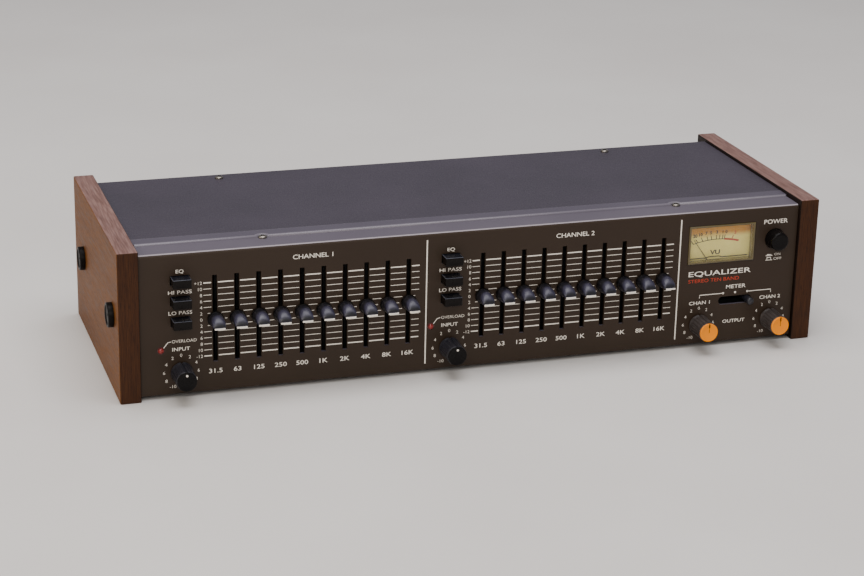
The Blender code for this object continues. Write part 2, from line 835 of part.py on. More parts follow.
def main_board(material):
    """The signal board on four posts, with a row of chips and its capacitors."""
    left, front, low = MAIN_BOARD_LOW
    right = left + MAIN_BOARD_SIZE[0]
    back = front + MAIN_BOARD_SIZE[1]
    board = block("main_board", MAIN_BOARD_LOW, (right, back, low + BOARD_SHEET), material)
    post_length = low + SINK - TRAY_FLOOR
    fitted = []
    for k, x in enumerate((left + POST_INSET, right - POST_INSET)):
        for m, y in enumerate((front + POST_INSET, back - POST_INSET)):
            centre = (x, y, TRAY_FLOOR + post_length / 2)
            fitted.append(
                rod(f"post_{k}_{m}", centre, POST_RADIUS, post_length, material, "Z", sides=10)
            )
    top = low + BOARD_SHEET - SINK
    for k in range(CHIPS):
        low_corner = (left + 0.020 + CHIP_PITCH * k, front + 0.0225, top)
        high_corner = [a + b for a, b in zip(low_corner, CHIP_SIZE)]
        fitted.append(block(f"chip_{k}", low_corner, high_corner, material))
    middle = top + CAPACITOR_LENGTH / 2
    for k in range(CAPACITORS):
        centre = (left + 0.060 + CAPACITOR_PITCH * k, back - 0.025, middle)
        name = f"capacitor_{k}"
        fitted.append(
            rod(name, centre, CAPACITOR_RADIUS, CAPACITOR_LENGTH, material, "Z", sides=12)
        )
    combine(board, "UNION", fitted)


def power_transformer(steel):
    """A laminated core with its winding standing out on both sides, on the tray's floor."""
    low = (*CORE_LOW, TRAY_FLOOR)
    high = [a + b for a, b in zip(low, CORE_SIZE)]
    core = block("power_transformer", low, high, steel)
    middle = [(a + b) / 2 for a, b in zip(low, high)]
    winding = block(
        "transformer_winding",
        [a - b / 2 for a, b in zip(middle, WINDING_SIZE)],
        [a + b / 2 for a, b in zip(middle, WINDING_SIZE)],
        steel,
    )
    combine(core, "UNION", [winding])


def rear_fittings(plastic, brass):
    """Eight phono sockets on one plate, and the bush that the mains lead leaves through."""
    plate_front = REAR_FACE + GAP
    half_width = JACK_PITCH_X * (JACK_COLUMNS - 1) / 2 + JACK_MARGIN
    half_height = JACK_PITCH_Z * (JACK_ROWS - 1) / 2 + JACK_MARGIN
    plate = block(
        "phono_socket_plate",
        (JACK_PLATE_X - half_width, plate_front, JACK_PLATE_Z - half_height),
        (JACK_PLATE_X + half_width, plate_front + JACK_PLATE_SHEET, JACK_PLATE_Z + half_height),
        brass,
    )
    barrels = []
    holes = []
    for column in range(JACK_COLUMNS):
        for row in range(JACK_ROWS):
            x = JACK_PLATE_X + JACK_PITCH_X * (column - (JACK_COLUMNS - 1) / 2)
            z = JACK_PLATE_Z + JACK_PITCH_Z * (row - (JACK_ROWS - 1) / 2)
            name = f"socket_{column}_{row}"
            centre = (x, plate_front + PAST + JACK_LENGTH / 2, z)
            barrels.append(rod(name, centre, JACK_RADIUS, JACK_LENGTH, brass, sides=12))
            centre = (x, plate_front + 2 * PAST + JACK_LENGTH / 2, z)
            hole_length = JACK_LENGTH + PAST
            holes.append(rod(f"{name}_hole", centre, JACK_BORE, hole_length, brass, sides=8))
    combine(plate, "UNION", barrels)
    combine(plate, "DIFFERENCE", holes)

    profile = (
        (GLAND_BORE, 0.0090),
        (0.0036, 0.0090),
        (0.0046, 0.0025),
        (GLAND_FLANGE, 0.0025),
        (GLAND_FLANGE, GAP),
        (GLAND_NECK, GAP),
        (GLAND_NECK, -0.0060),
        (GLAND_BORE, -0.0060),
    )
    turned("cord_gland", profile, (GLAND_X, REAR_FACE, GLAND_Z), plastic, "+Y", steps=16)


def build():
    """Make the whole equalizer."""
    fresh_scene()
    wood = principled("walnut", (0.16, 0.07, 0.035), 0.45)
    panel_paint = principled("panel_paint", (0.030, 0.022, 0.017), 0.45)
    cover_paint = principled("cover_paint", (0.09, 0.085, 0.10), 0.45)
    steel = principled("zinc_steel", (0.45, 0.45, 0.43), 0.4, 0.9)
    dark = principled("black_plastic", (0.02, 0.02, 0.022), 0.3)
    slider_plastic = principled("slider_plastic", (0.03, 0.03, 0.065), 0.35)
    orange = principled("orange_cap", (0.62, 0.22, 0.02), 0.4)
    rubber = principled("cap_plastic", (0.015, 0.015, 0.015), 0.4)
    green = principled("circuit_board", (0.05, 0.14, 0.05), 0.5)
    red = principled("lamp_red", (0.30, 0.01, 0.01), 0.15)
    glass = principled("clear_cover", (0.85, 0.83, 0.75), 0.05)
    paper = principled("dial_paper", (0.62, 0.55, 0.32), 0.7)
    ink = principled("needle_ink", (0.03, 0.02, 0.015), 0.5)
    brass = principled("socket_metal", (0.70, 0.68, 0.62), 0.3, 1.0)

    wooden_panels(wood, rubber)
    front_panel(panel_paint)
    case(steel, cover_paint)
    sliders(slider_plastic)
    slide_pot_boards(green)
    push_buttons(dark)
    knobs(dark, orange)
    control_boards(green)
    lamps(red)
    meter(dark, glass, paper, ink)
    meter_selector(dark, green)
    main_board(green)
    power_transformer(steel)
    rear_fittings(dark, brass)


build()
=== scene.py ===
"""The looks of a stereo ten-band graphic equalizer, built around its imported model.

Units are metres, with MM for sizes in millimetres. +Z is up and the front panel faces -Y.
The print's heights are counted from the table, and its places across from the unit's middle.
"""

import json
import math

import bmesh
import bpy
from mathutils import Matrix, Vector


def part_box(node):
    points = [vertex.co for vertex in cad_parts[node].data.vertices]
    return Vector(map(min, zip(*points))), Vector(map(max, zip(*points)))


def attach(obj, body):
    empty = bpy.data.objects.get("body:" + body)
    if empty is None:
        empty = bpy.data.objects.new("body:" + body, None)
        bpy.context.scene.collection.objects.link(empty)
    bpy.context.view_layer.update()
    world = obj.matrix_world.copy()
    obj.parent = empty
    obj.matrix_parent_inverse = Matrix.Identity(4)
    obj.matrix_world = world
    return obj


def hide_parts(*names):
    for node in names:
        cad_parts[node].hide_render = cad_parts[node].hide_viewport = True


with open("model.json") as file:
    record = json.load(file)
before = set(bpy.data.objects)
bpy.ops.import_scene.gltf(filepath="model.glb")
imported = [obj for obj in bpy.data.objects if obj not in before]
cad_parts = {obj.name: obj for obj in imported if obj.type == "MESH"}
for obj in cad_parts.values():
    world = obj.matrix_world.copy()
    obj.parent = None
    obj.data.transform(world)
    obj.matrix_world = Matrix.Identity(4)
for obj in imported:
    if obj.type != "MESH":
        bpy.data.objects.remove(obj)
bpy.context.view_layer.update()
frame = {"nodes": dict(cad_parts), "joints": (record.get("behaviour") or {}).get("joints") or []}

MM = 0.001
SCENE = bpy.context.scene.collection

# ---- places read from the model

CHANNELS = (1, 2)
BANDS = ("31_5", "63", "125", "250", "500", "1k", "2k", "4k", "8k", "16k")
PANEL_LOW, PANEL_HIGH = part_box("front_panel")
FRONT = PANEL_LOW.y
CASE_HALF = PANEL_HIGH.x
STRIP_TOP = PANEL_HIGH.z
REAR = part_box("rear_panel")[1].y
COVER_LOW, COVER_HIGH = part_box("top_cover")
WOOD_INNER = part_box("side_panel_right")[0].x


def middle(node):
    """The middle of a node's box."""
    low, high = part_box(node)
    return (low + high) / 2


def control(node):
    """Where a control's axis meets the panel, its radius, and its reach in front and behind."""
    low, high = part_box(node)
    centre = middle(node)
    spot = Vector((centre.x, FRONT, centre.z))
    return spot, (high.x - low.x) / 2, FRONT - low.y, high.y - FRONT


# ---- camera

# Solved from where the corners of the wooden panels stand in the photograph.
CAMERA_TARGET = Vector((-0.03445, -0.0755, 0.0598))
CAMERA_DISTANCE = 1.4275
CAMERA_AZIMUTH = math.radians(-17.888)
CAMERA_ELEVATION = math.radians(19.615)
CAMERA_ROLL = math.radians(1.258)
CAMERA_LENS = 91.09


def placed(name, data):
    """A new object in the scene, for some data."""
    made = bpy.data.objects.new(name, data)
    SCENE.objects.link(made)
    return made


def aimed(direction):
    """The turn that points a camera or a light along a direction."""
    return direction.to_track_quat("-Z", "Y").to_matrix().to_4x4()


def make_camera():
    """A long lens a little to the left of the front, looking down on the unit."""
    level = math.cos(CAMERA_ELEVATION)
    ahead = math.cos(CAMERA_AZIMUTH) * level
    back = Vector((math.sin(CAMERA_AZIMUTH) * level, -ahead, math.sin(CAMERA_ELEVATION)))
    data = bpy.data.cameras.new("camera")
    data.lens = CAMERA_LENS
    camera = placed("camera", data)
    spot = Matrix.Translation(CAMERA_TARGET + back * CAMERA_DISTANCE)
    camera.matrix_world = spot @ aimed(-back) @ Matrix.Rotation(CAMERA_ROLL, 4, "Z")
    bpy.context.scene.camera = camera


# ---- materials

NOISE_LOW, NOISE_HIGH = 0.3, 0.7  # most of a noise's values lie between these
GLOSS_SCALE = 420
MOULD_SCALE = 2600
FAINT_GRAIN = 0.00002


def tone(*levels):
    """A colour given as it looks on a screen, 0 to 255, as linear light."""
    shares = [level / 255 for level in levels]
    return (*(v / 12.92 if v <= 0.04045 else ((v + 0.055) / 1.055) ** 2.4 for v in shares), 1.0)


def shade(colour, factor):
    """A colour made darker or lighter by a factor."""
    return tuple(min(1.0, c * factor) for c in colour[:3]) + (1.0,)


class Look:
    """A procedural material in the making."""

    def __init__(self, name, roughness, metallic=0.0, **sockets):
        self.material = bpy.data.materials.new(name)
        self.material.use_nodes = True
        self.nodes = self.material.node_tree.nodes
        self.links = self.material.node_tree.links
        self.shader = self.nodes["Principled BSDF"]
        self.shader.inputs["Roughness"].default_value = roughness
        self.shader.inputs["Metallic"].default_value = metallic
        for socket, value in sockets.items():
            self.shader.inputs[socket.replace("_", " ")].default_value = value
        texture = self.nodes.new("ShaderNodeTexCoord")
        self.place = texture.outputs["Object"]
        self.normal = texture.outputs["Normal"]
        self.last_bump = None

    def stretched(self, stretch):
        """The object coordinates, scaled along each axis."""
        mapping = self.nodes.new("ShaderNodeMapping")
        mapping.inputs["Scale"].default_value = stretch
        self.links.new(self.place, mapping.inputs["Vector"])
        return mapping.outputs["Vector"]

    def noise(self, scale, detail=2.0, stretch=(1, 1, 1), vector=None, distortion=0.0):
        """Noise with so many grains to the metre."""
        texture = self.nodes.new("ShaderNodeTexNoise")
        texture.inputs["Scale"].default_value = scale
        texture.inputs["Detail"].default_value = detail
        texture.inputs["Distortion"].default_value = distortion
        self.links.new(vector or self.stretched(stretch), texture.inputs["Vector"])
        return texture.outputs[0]

    def ramp(self, factor, *stops):
        """A colour for each place along a factor."""
        ramp = self.nodes.new("ShaderNodeValToRGB")
        while len(ramp.color_ramp.elements) < len(stops):
            ramp.color_ramp.elements.new(0.5)
        for element, (position, colour) in zip(ramp.color_ramp.elements, stops):
            element.position = position
            element.color = colour
        self.links.new(factor, ramp.inputs["Fac"])
        return ramp.outputs["Color"]

    def mottle(self, noise, first, second):
        """Two colours, shared out by a noise."""
        return self.ramp(noise, (NOISE_LOW, first), (NOISE_HIGH, second))

    def between(self, value, low, high, to_low=0.0, to_high=1.0):
        """Map a range of a value onto another range, clamped."""
        node = self.nodes.new("ShaderNodeMapRange")
        sockets = ("From Min", "From Max", "To Min", "To Max")
        for socket, number in zip(sockets, (low, high, to_low, to_high)):
            node.inputs[socket].default_value = number
        self.links.new(value, node.inputs["Value"])
        return node.outputs["Result"]

    def spread(self, noise, low, high):
        """A noise's usual values, mapped onto a range."""
        return self.between(noise, NOISE_LOW, NOISE_HIGH, low, high)

    def mix(self, factor, first, second, blend="MIX", kind="RGBA"):
        """Mix two colours or vectors, each given as it is or as a node's output."""
        node = self.nodes.new("ShaderNodeMix")
        node.data_type = kind
        node.blend_type = blend
        for socket, value in (("Factor", factor), ("A", first), ("B", second)):
            target = next(i for i in node.inputs if i.name == socket and i.enabled)
            if isinstance(value, bpy.types.NodeSocket):
                self.links.new(value, target)
            else:
                target.default_value = value
        return next(o for o in node.outputs if o.enabled)

    def axis(self, vector, letter):
        """One component of a vector."""
        node = self.nodes.new("ShaderNodeSeparateXYZ")
        self.links.new(vector, node.inputs["Vector"])
        return node.outputs[letter]

    def maths(self, operation, first, second=None):
        """One arithmetic step."""
        node = self.nodes.new("ShaderNodeMath")
        node.operation = operation
        for socket, value in zip(node.inputs, (first, second)):
            if isinstance(value, bpy.types.NodeSocket):
                self.links.new(value, socket)
            elif value is not None:
                socket.default_value = value
        return node.outputs["Value"]

    def colour(self, output):
        """Take the base colour from a node."""
        self.links.new(output, self.shader.inputs["Base Color"])

    def gloss(self, noise, low, high):
        """Let the roughness wander between two values with a noise."""
        self.links.new(self.spread(noise, low, high), self.shader.inputs["Roughness"])

    def bump(self, height, distance):
        """Raise the surface by a height, on top of earlier bumps."""
        node = self.nodes.new("ShaderNodeBump")
        node.inputs["Distance"].default_value = distance
        self.links.new(height, node.inputs["Height"])
        if self.last_bump:
            self.links.new(self.last_bump, node.inputs["Normal"])
        self.last_bump = node.outputs["Normal"]
        self.links.new(self.last_bump, self.shader.inputs["Normal"])

    def mould_finish(self, low, high):
        """The uneven gloss and faint grain of moulded plastic."""
        self.gloss(self.noise(GLOSS_SCALE), low, high)
        self.bump(self.noise(MOULD_SCALE), FAINT_GRAIN)
        return self.material


def moulded(name, colour, roughness, spread=0.2, **sockets):
    """Moulded plastic of slightly uneven colour."""
    look = Look(name, roughness, **sockets)
    patches = look.noise(160, 3.0)
    look.colour(look.mottle(patches, shade(colour, 1 - spread), shade(colour, 1 + spread)))
    return look.mould_finish(roughness - 0.05, roughness + 0.07)


def paint_light_by_facing(look, towards, sign, noise, wander, *stops):
    """Paint light and shade on a look by how far each face turns towards an axis, with an uneven
    limit.
    """
    turned = look.maths("MULTIPLY", look.axis(look.normal, towards), sign)
    uneven = look.maths("ADD", turned, look.spread(noise, -wander, wander))
    look.colour(look.ramp(uneven, *stops))


def slider_plastic():
    """Blue-black plastic, with painted light on the slanted face and painted shade on the sides
    and on faces turned straight forward.
    """
    look = Look("slider_plastic", 0.50)
    # Painted light on the slanted face; painted shade on the sides and on faces turned straight
    # forward.
    dark, light, back = tone(18, 17, 23), tone(47, 45, 62), tone(20, 19, 26)
    stops = ((0.04, back), (0.24, light), (0.66, light), (0.92, dark))
    paint_light_by_facing(look, "Y", -1.0, look.noise(500, 3.0), 0.04, *stops)
    return look.mould_finish(0.32, 0.44)


def key_plastic():
    """Black plastic of the push buttons, with a painted grey highlight along its upper edges and
    a painted bluish cast on top.
    """
    look = Look("key_plastic", 0.28, Specular_IOR_Level=0.12)
    # A painted highlight on the upper edges, and a painted bluish reflection on the top face.
    stops = (
        (0.55, tone(16, 13, 12)),
        (0.70, tone(96, 98, 108)),
        (0.88, tone(88, 90, 100)),
        (0.96, tone(22, 23, 29)),
    )
    paint_light_by_facing(look, "Z", 1.0, look.noise(700, 3.0), 0.05, *stops)
    return look.mould_finish(0.24, 0.36)


def ridge_paint():
    """The bead's sprayed paint: a fine orange-peel texture with a faint drift of tone."""
    look = Look("ridge_paint", 0.34)
    colour = tone(104, 98, 108)
    look.colour(look.mottle(look.noise(14, 4.0), shade(colour, 0.86), shade(colour, 1.14)))
    specks = look.noise(1800, 3.0)
    look.gloss(specks, 0.28, 0.42)
    look.bump(specks, FAINT_GRAIN)
    return look.material


def metal(name, colour, roughness, stretch=(0.03, 1, 1)):
    """Metal with fine marks drawn out along one axis."""
    look = Look(name, roughness, metallic=1.0)
    marks = look.noise(900, 4.0, stretch)
    look.colour(look.ramp(look.noise(60, 3.0), (0.25, shade(colour, 0.78)), (0.75, colour)))
    look.gloss(marks, roughness - 0.08, roughness + 0.12)
    look.bump(marks, FAINT_GRAIN / 2)
    return look.material


# How far upwards a surface turns where the face ends and where the top strip begins.
LIP_TURN = (0.62, 0.74)
STRIP_TURN = (0.84, 0.93)


def panel_paint():
    """The front panel's brown-black paint; its top strip greyer, partly as painted light, and a
    painted lip highlight.
    """
    look = Look("panel_paint", 0.55, Specular_IOR_Level=0.28)
    upward = look.axis(look.normal, "Z")
    drift = look.noise(14, 4.0)
    face = look.mottle(drift, tone(46, 34, 23), tone(51, 38, 27))
    # The top strip is greyer and lighter than the face, partly as painted light from above.
    strip = look.mottle(drift, tone(84, 78, 88), tone(92, 86, 96))
    # A painted highlight along the rounded lip between the face and the top strip.
    lip_highlight = look.mix(look.between(upward, *STRIP_TURN), tone(150, 142, 148), strip)
    look.colour(look.mix(look.between(upward, *LIP_TURN), face, lip_highlight))
    specks = look.noise(2200, 3.0)
    look.gloss(specks, 0.46, 0.62)
    look.bump(specks, 0.00003)
    return look.material


WALNUT_GRAIN = 0.045
VENEER_EDGE = 0.7
PLAIN = (1.0, 1.0, 1.0, 1.0)


def walnut():
    """Walnut veneer: the grain runs front to back, and upright along the front and rear edges.

    The outer sides are golden, the front and rear edges dark with edge veneer and partly painted
    shade, the top edges grey with a painted sheen, and the inner sides painted nearly black as
    shade.
    """
    look = Look("walnut", 0.5, Specular_IOR_Level=0.16)
    to_front = look.maths("ABSOLUTE", look.axis(look.normal, "Y"))
    to_top = look.maths("ABSOLUTE", look.axis(look.normal, "Z"))
    edge = look.maths("GREATER_THAN", to_front, VENEER_EDGE)
    top = look.maths("GREATER_THAN", to_top, VENEER_EDGE)
    sideways = look.maths("ABSOLUTE", look.axis(look.place, "X"))
    inner_shade = look.maths("LESS_THAN", sideways, WOOD_INNER + 0.4 * MM)
    along_y = look.stretched((1, WALNUT_GRAIN, 1))
    along_z = look.stretched((1, 1, WALNUT_GRAIN))
    grain = look.mix(edge, along_y, along_z, kind="VECTOR")
    broad = look.noise(170, 4.0, vector=grain, distortion=0.4)
    fine = look.noise(1300, 5.0, vector=grain)
    pores = look.noise(3200, 2.0, vector=grain)
    figure = look.ramp(
        broad,
        (0.28, tone(104, 60, 10)),
        (0.45, tone(113, 67, 13)),
        (0.58, tone(119, 72, 16)),
        (0.72, tone(107, 62, 11)),
    )
    streaks = look.ramp(fine, (0.32, tone(204, 196, 188)), (0.62, PLAIN))
    body = look.mix(1.0, figure, streaks, "MULTIPLY")
    specks = look.ramp(pores, (0.36, tone(176, 164, 156)), (0.46, PLAIN))
    body = look.mix(1.0, body, specks, "MULTIPLY")
    # Front and rear edges: darker edge veneer, and partly painted shade.
    shaded = look.mix(1.0, body, tone(160, 146, 150), "MULTIPLY")
    dark = look.mix(0.3, shaded, look.mix(1.0, streaks, tone(60, 45, 37), "MULTIPLY"))
    # Top edges: a painted grey sheen, where the top catches light.
    greys = ((0.34, tone(100, 76, 74)), (0.5, tone(122, 97, 95)), (0.66, tone(140, 116, 114)))
    painted_top_sheen = look.mix(0.72, body, look.ramp(fine, *greys))
    body = look.mix(edge, look.mix(top, body, painted_top_sheen), dark)
    # Inner sides: painted nearly black as shade.
    look.colour(look.mix(inner_shade, body, tone(26, 16, 11)))
    look.gloss(fine, 0.44, 0.62)
    look.bump(fine, 0.00005)
    look.bump(pores, 0.00006)
    return look.material


COVER_STRIP_END = -0.0465
COVER_STEP = 0.0004
LEATHER_SCALE = 1100


def cover_paint():
    """The top cover's paint: smooth along the front strip, leather-grained behind it."""
    look = Look("cover_paint", 0.5)
    depth = look.axis(look.place, "Y")
    back = look.between(depth, COVER_STRIP_END - COVER_STEP, COVER_STRIP_END + COVER_STEP)
    drift = look.noise(16, 4.0)
    strip = look.mottle(drift, tone(68, 62, 74), tone(76, 70, 82))
    field = look.mottle(drift, tone(47, 41, 52), tone(55, 48, 60))
    look.colour(look.mix(back, strip, field))
    cells = look.nodes.new("ShaderNodeTexVoronoi")
    cells.inputs["Scale"].default_value = LEATHER_SCALE
    look.links.new(look.place, cells.inputs["Vector"])
    grain = look.maths("MULTIPLY", cells.outputs["Distance"], back)
    look.gloss(look.noise(500, 3.0), 0.42, 0.58)
    look.bump(grain, 0.00022)
    look.bump(back, 0.00018)
    return look.material


TOP_SHADOW_FADE = (0.0761, 0.0799)


def dial_paper():
    """The meter's card: pale yellow-green, with a painted amber shadow along the top, under the
    case's top edge.
    """
    look = Look("dial_paper", 0.62)
    height = look.axis(look.place, "Z")
    uneven = look.maths("ADD", height, look.spread(look.noise(45), -0.0007, 0.0007))
    # A painted shadow: the case's top edge shades the card's top, amber where light comes
    # through.
    top_shadow = look.between(uneven, *TOP_SHADOW_FADE)
    paper = look.mottle(look.noise(70, 4.0), tone(238, 222, 122), tone(250, 236, 142))
    band = look.mottle(look.noise(90, 4.0), tone(196, 130, 8), tone(210, 146, 20))
    look.colour(look.mix(top_shadow, paper, band))
    look.bump(look.noise(1400, 3.0), FAINT_GRAIN)
    return look.material


BOARD_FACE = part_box("power_switch_body")[1].y


def circuit_board():
    """Green solder mask on the boards, and black mouldings on the parts in front of them."""
    look = Look("circuit_board", 0.45)
    board = look.maths("GREATER_THAN", look.axis(look.place, "Y"), BOARD_FACE)
    mask = look.ramp(look.noise(300, 4.0), (0.35, tone(30, 78, 44)), (0.65, tone(44, 104, 58)))
    mouldings = look.mottle(look.noise(220, 3.0), tone(14, 14, 15), tone(22, 22, 24))
    look.colour(look.mix(board, mouldings, mask))
    look.bump(look.noise(900), 0.00003)
    return look.material


def lamp_red():
    """Tinted plastic, with painted shade darkening it where the dome meets the panel."""
    look = Look("lamp_red", 0.2, Coat_Weight=0.3, Coat_Roughness=0.12)
    # Painted shade: darker towards the panel, where the dome meets it.
    depth = look.between(look.axis(look.place, "Y"), FRONT - 2.0 * MM, FRONT)
    uneven = look.maths("ADD", depth, look.spread(look.noise(700), -0.08, 0.08))
    look.colour(look.ramp(uneven, (0.2, tone(134, 28, 22)), (0.9, tone(60, 8, 8))))
    look.bump(look.noise(800), FAINT_GRAIN / 2)
    return look.material


def clear_plastic():
    """The meter's clear cover, with faint haze and dust."""
    look = Look("clear_cover", 0.06, Alpha=0.05, IOR=1.49)
    look.colour(look.mottle(look.noise(240, 5.0), tone(216, 210, 190), tone(244, 240, 224)))
    look.gloss(look.noise(500, 4.0), 0.04, 0.14)
    return look.material


def ink(name, colour):
    """Screen-printed ink with slightly uneven cover."""
    look = Look(name, 0.55)
    look.colour(look.ramp(look.noise(1500, 3.0), (0.3, shade(colour, 0.84)), (0.6, colour)))
    look.bump(look.noise(3000), FAINT_GRAIN / 2)
    return look.material


LOOKS = {
    "walnut": walnut(),
    "panel": panel_paint(),
    "cover": cover_paint(),
    "ridge": ridge_paint(),
    "steel": metal("zinc_steel", tone(168, 168, 162), 0.42),
    "slider": slider_plastic(),
    "key": key_plastic(),
    "black": moulded("black_plastic", tone(14, 12, 12), 0.26, Specular_IOR_Level=0.11),
    "knob": moulded("knob_plastic", tone(58, 52, 50), 0.38),
    "slate": moulded("slate_plastic", tone(30, 30, 37), 0.32),
    "cap": moulded("bolt_cap_plastic", tone(14, 11, 10), 0.36, Specular_IOR_Level=0.1),
    "orange": moulded("orange_cap", tone(255, 145, 0), 0.5, spread=0.05, Specular_IOR_Level=0.12),
    "board": circuit_board(),
    "paper": dial_paper(),
    "clear": clear_plastic(),
    "rim": moulded("meter_rim_plastic", tone(92, 80, 46), 0.18, spread=0.12, Coat_Weight=0.3),
    "lamp": lamp_red(),
    "socket": metal("socket_metal", tone(214, 210, 200), 0.22),
    "needle": ink("needle_ink", tone(38, 27, 20)),
    "white": ink("white_print", tone(252, 244, 230)),
    "red": ink("red_print", tone(190, 54, 20)),
    "nickel": metal("screw_nickel", tone(140, 134, 126), 0.30, (1, 1, 1)),
}

NODE_LOOKS = (
    ("walnut", "side_panel_"),
    ("panel", "front_panel"),
    ("cover", "top_cover"),
    ("steel", "chassis_tray", "rear_panel", "power_transformer"),
    ("paper", "meter_dial"),
    ("clear", "meter_window"),
    ("board", "slide_pot_board_", "control_board_", "output_board", "main_board"),
    ("board", "power_switch_body", "meter_selector_body"),
    ("lamp", "overload_lamp_"),
    ("socket", "phono_socket_plate"),
    ("cap", "bolt_cap_"),
    ("slider", "slider_"),
    ("orange", "output_knob_"),
    ("needle", "meter_needle"),
)


def dress_nodes():
    """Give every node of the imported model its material, black plastic where none is named."""
    for name, node in frame["nodes"].items():
        named = (look for look, *starts in NODE_LOOKS if name.startswith(tuple(starts)))
        material = LOOKS[next(named, "black")]
        if not node.material_slots:
            node.data.materials.append(material)
        for material_slot in node.material_slots:
            material_slot.material = material


# ---- shapes

CREASE = 32
OVERLAP = 0.1 * MM

TURNS = {
    "-Y": Matrix.Rotation(math.pi / 2, 4, "X"),
    "+Y": Matrix.Rotation(-math.pi / 2, 4, "X"),
    "-X": Matrix.Rotation(-math.pi / 2, 4, "Y"),
    "+X": Matrix.Rotation(math.pi / 2, 4, "Y"),
    "+Z": Matrix.Identity(4),
    "-Z": Matrix.Rotation(math.pi, 4, "X"),
}


def facing(direction, at):
    """Carry a shape whose height is along +Z to a place, with its height along a direction."""
    return Matrix.Translation(at) @ TURNS[direction]


def finished(name, bm, look, body="case", stands_for=(), crease=CREASE):
    """Turn a bmesh into a piece of the unit that rides on one of its bodies."""
    bmesh.ops.recalc_face_normals(bm, faces=bm.faces)
    mesh = bpy.data.meshes.new(name)
    bm.to_mesh(mesh)
    bm.free()
    mesh.materials.append(LOOKS[look])
    mesh.shade_smooth()
    mesh.set_sharp_from_angle(angle=math.radians(crease))
    piece = placed(name, mesh)
    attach(piece, body)
    if stands_for:
        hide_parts(*stands_for)


def in_mm(*points):
    """Points given in millimetres."""
    return [(a * MM, b * MM) for a, b in points]


def skin(bm, rings):
    """Faces between each ring of points and the next; an end ring may be one point."""
    steps = max(len(ring) for ring in rings)
    for upper, lower in zip(rings, rings[1:]):
        for k in range(steps):
            after = (k + 1) % steps
            corners = ((upper, k), (upper, after), (lower, after), (lower, k))
            bm.faces.new(list(dict.fromkeys(ring[i % len(ring)] for ring, i in corners)))


def lathe(bm, profile, onto, steps, radius_at=None):
    """Turn a profile of (radius, height) points about its height, and carry it onto its place.

    A profile that ends where it starts makes a tube.
    """
    tube = profile[0] == profile[-1]
    rings = []
    for radius, height in profile[:-1] if tube else profile:
        ring = []
        for k in range(steps if radius else 1):
            angle = 2 * math.pi * k / steps
            reach = radius_at(radius, height, angle) if radius_at and radius else radius
            point = Vector((reach * math.cos(angle), reach * math.sin(angle), height))
            ring.append(bm.verts.new(onto @ point))
        rings.append(ring)
    skin(bm, rings + rings[:1] if tube else rings)


def turned(name, profile, onto, steps, *details, radius_at=None, crease=CREASE):
    """A piece that is one turned profile; the details are its look, body and replaced nodes."""
    bm = bmesh.new()
    lathe(bm, profile, onto, steps, radius_at)
    finished(name, bm, *details, crease=crease)


def rounded(radius, top, edge, steps=4):
    """The points of a rounded outer corner of a turned profile, from the flat to the side."""
    angles = [math.pi / 2 * k / steps for k in range(steps + 1)]
    return [
        (radius - edge + edge * math.sin(a), top - edge + edge * math.cos(a)) for a in angles
    ]


def loft(bm, sections, onto, sides=36):
    """A closed shape through sections of (height, half width, half height, squareness, lift)."""
    rings = []
    for height, half_width, half_height, power, lift in sections:
        ring = []
        for k in range(sides):
            angle = 2 * math.pi * k / sides
            c, s = math.cos(angle), math.sin(angle)
            x = math.copysign(abs(c) ** (2 / power), c) * half_width
            z = math.copysign(abs(s) ** (2 / power), s) * half_height + lift
            ring.append(bm.verts.new(onto @ Vector((x, z, height))))
        rings.append(ring)
    skin(bm, rings)
    bm.faces.new(rings[0])
    bm.faces.new(rings[-1])


def soft_box(bm, low, high, edge=0.0, segments=3):
    """A box between two corners, with its edges rounded."""
    size = [b - a for a, b in zip(low, high)]
    centre = [(a + b) / 2 for a, b in zip(low, high)]
    matrix = Matrix.Translation(centre) @ Matrix.Diagonal((*size, 1))
    made = bmesh.ops.create_cube(bm, size=1.0, matrix=matrix)
    if edge:
        edges = list({e for v in made["verts"] for e in v.link_edges})
        bmesh.ops.bevel(
            bm, geom=edges, offset=edge, segments=segments, profile=0.5, affect="EDGES"
        )


def around(bm, centre, halves, depths, edge=0.0, segments=3):
    """A box about a control's axis, by its half width and height, and its front and back."""
    (half_width, half_height), (front, back) = halves, depths
    low = (centre.x - half_width, front, centre.z - half_height)
    high = (centre.x + half_width, back, centre.z + half_height)
    soft_box(bm, low, high, edge, segments)


def worked_out(holder):
    """The mesh that an object comes to, with its modifiers applied or its curves filled."""
    graph = bpy.context.evaluated_depsgraph_get()
    return bpy.data.meshes.new_from_object(holder.evaluated_get(graph))


def carve(bm, cutters):
    """Cut other shapes out of a shape, and give back what is left."""
    made = []
    for shape in (bm, *cutters):
        bmesh.ops.recalc_face_normals(shape, faces=shape.faces)
        mesh = bpy.data.meshes.new("shape")
        shape.to_mesh(mesh)
        shape.free()
        made.append(placed("shape", mesh))
    for tool in made[1:]:
        boolean = made[0].modifiers.new("Cut", "BOOLEAN")
        boolean.operation = "DIFFERENCE"
        boolean.object = tool
        boolean.solver = "EXACT"
    left = bmesh.new()
    result = worked_out(made[0])
    left.from_mesh(result)
    meshes = [result] + [holder.data for holder in made]
    for holder in made:
        bpy.data.objects.remove(holder)
    for mesh in meshes:
        bpy.data.meshes.remove(mesh)
    return left


# ---- lettering

INK = 0.06  # half the thickness of the print, in millimetres
INK_LIFT = INK * MM
BOLD = 0.004  # how far the letters' outlines are moved out, for a letter of height 1
BOLD_SMALL = -0.010
SMALL_PRINT = 2.15  # letters lower than this are small
ARC_STEPS = 28
SAME_POINT = 0.0005
LETTERS = {}


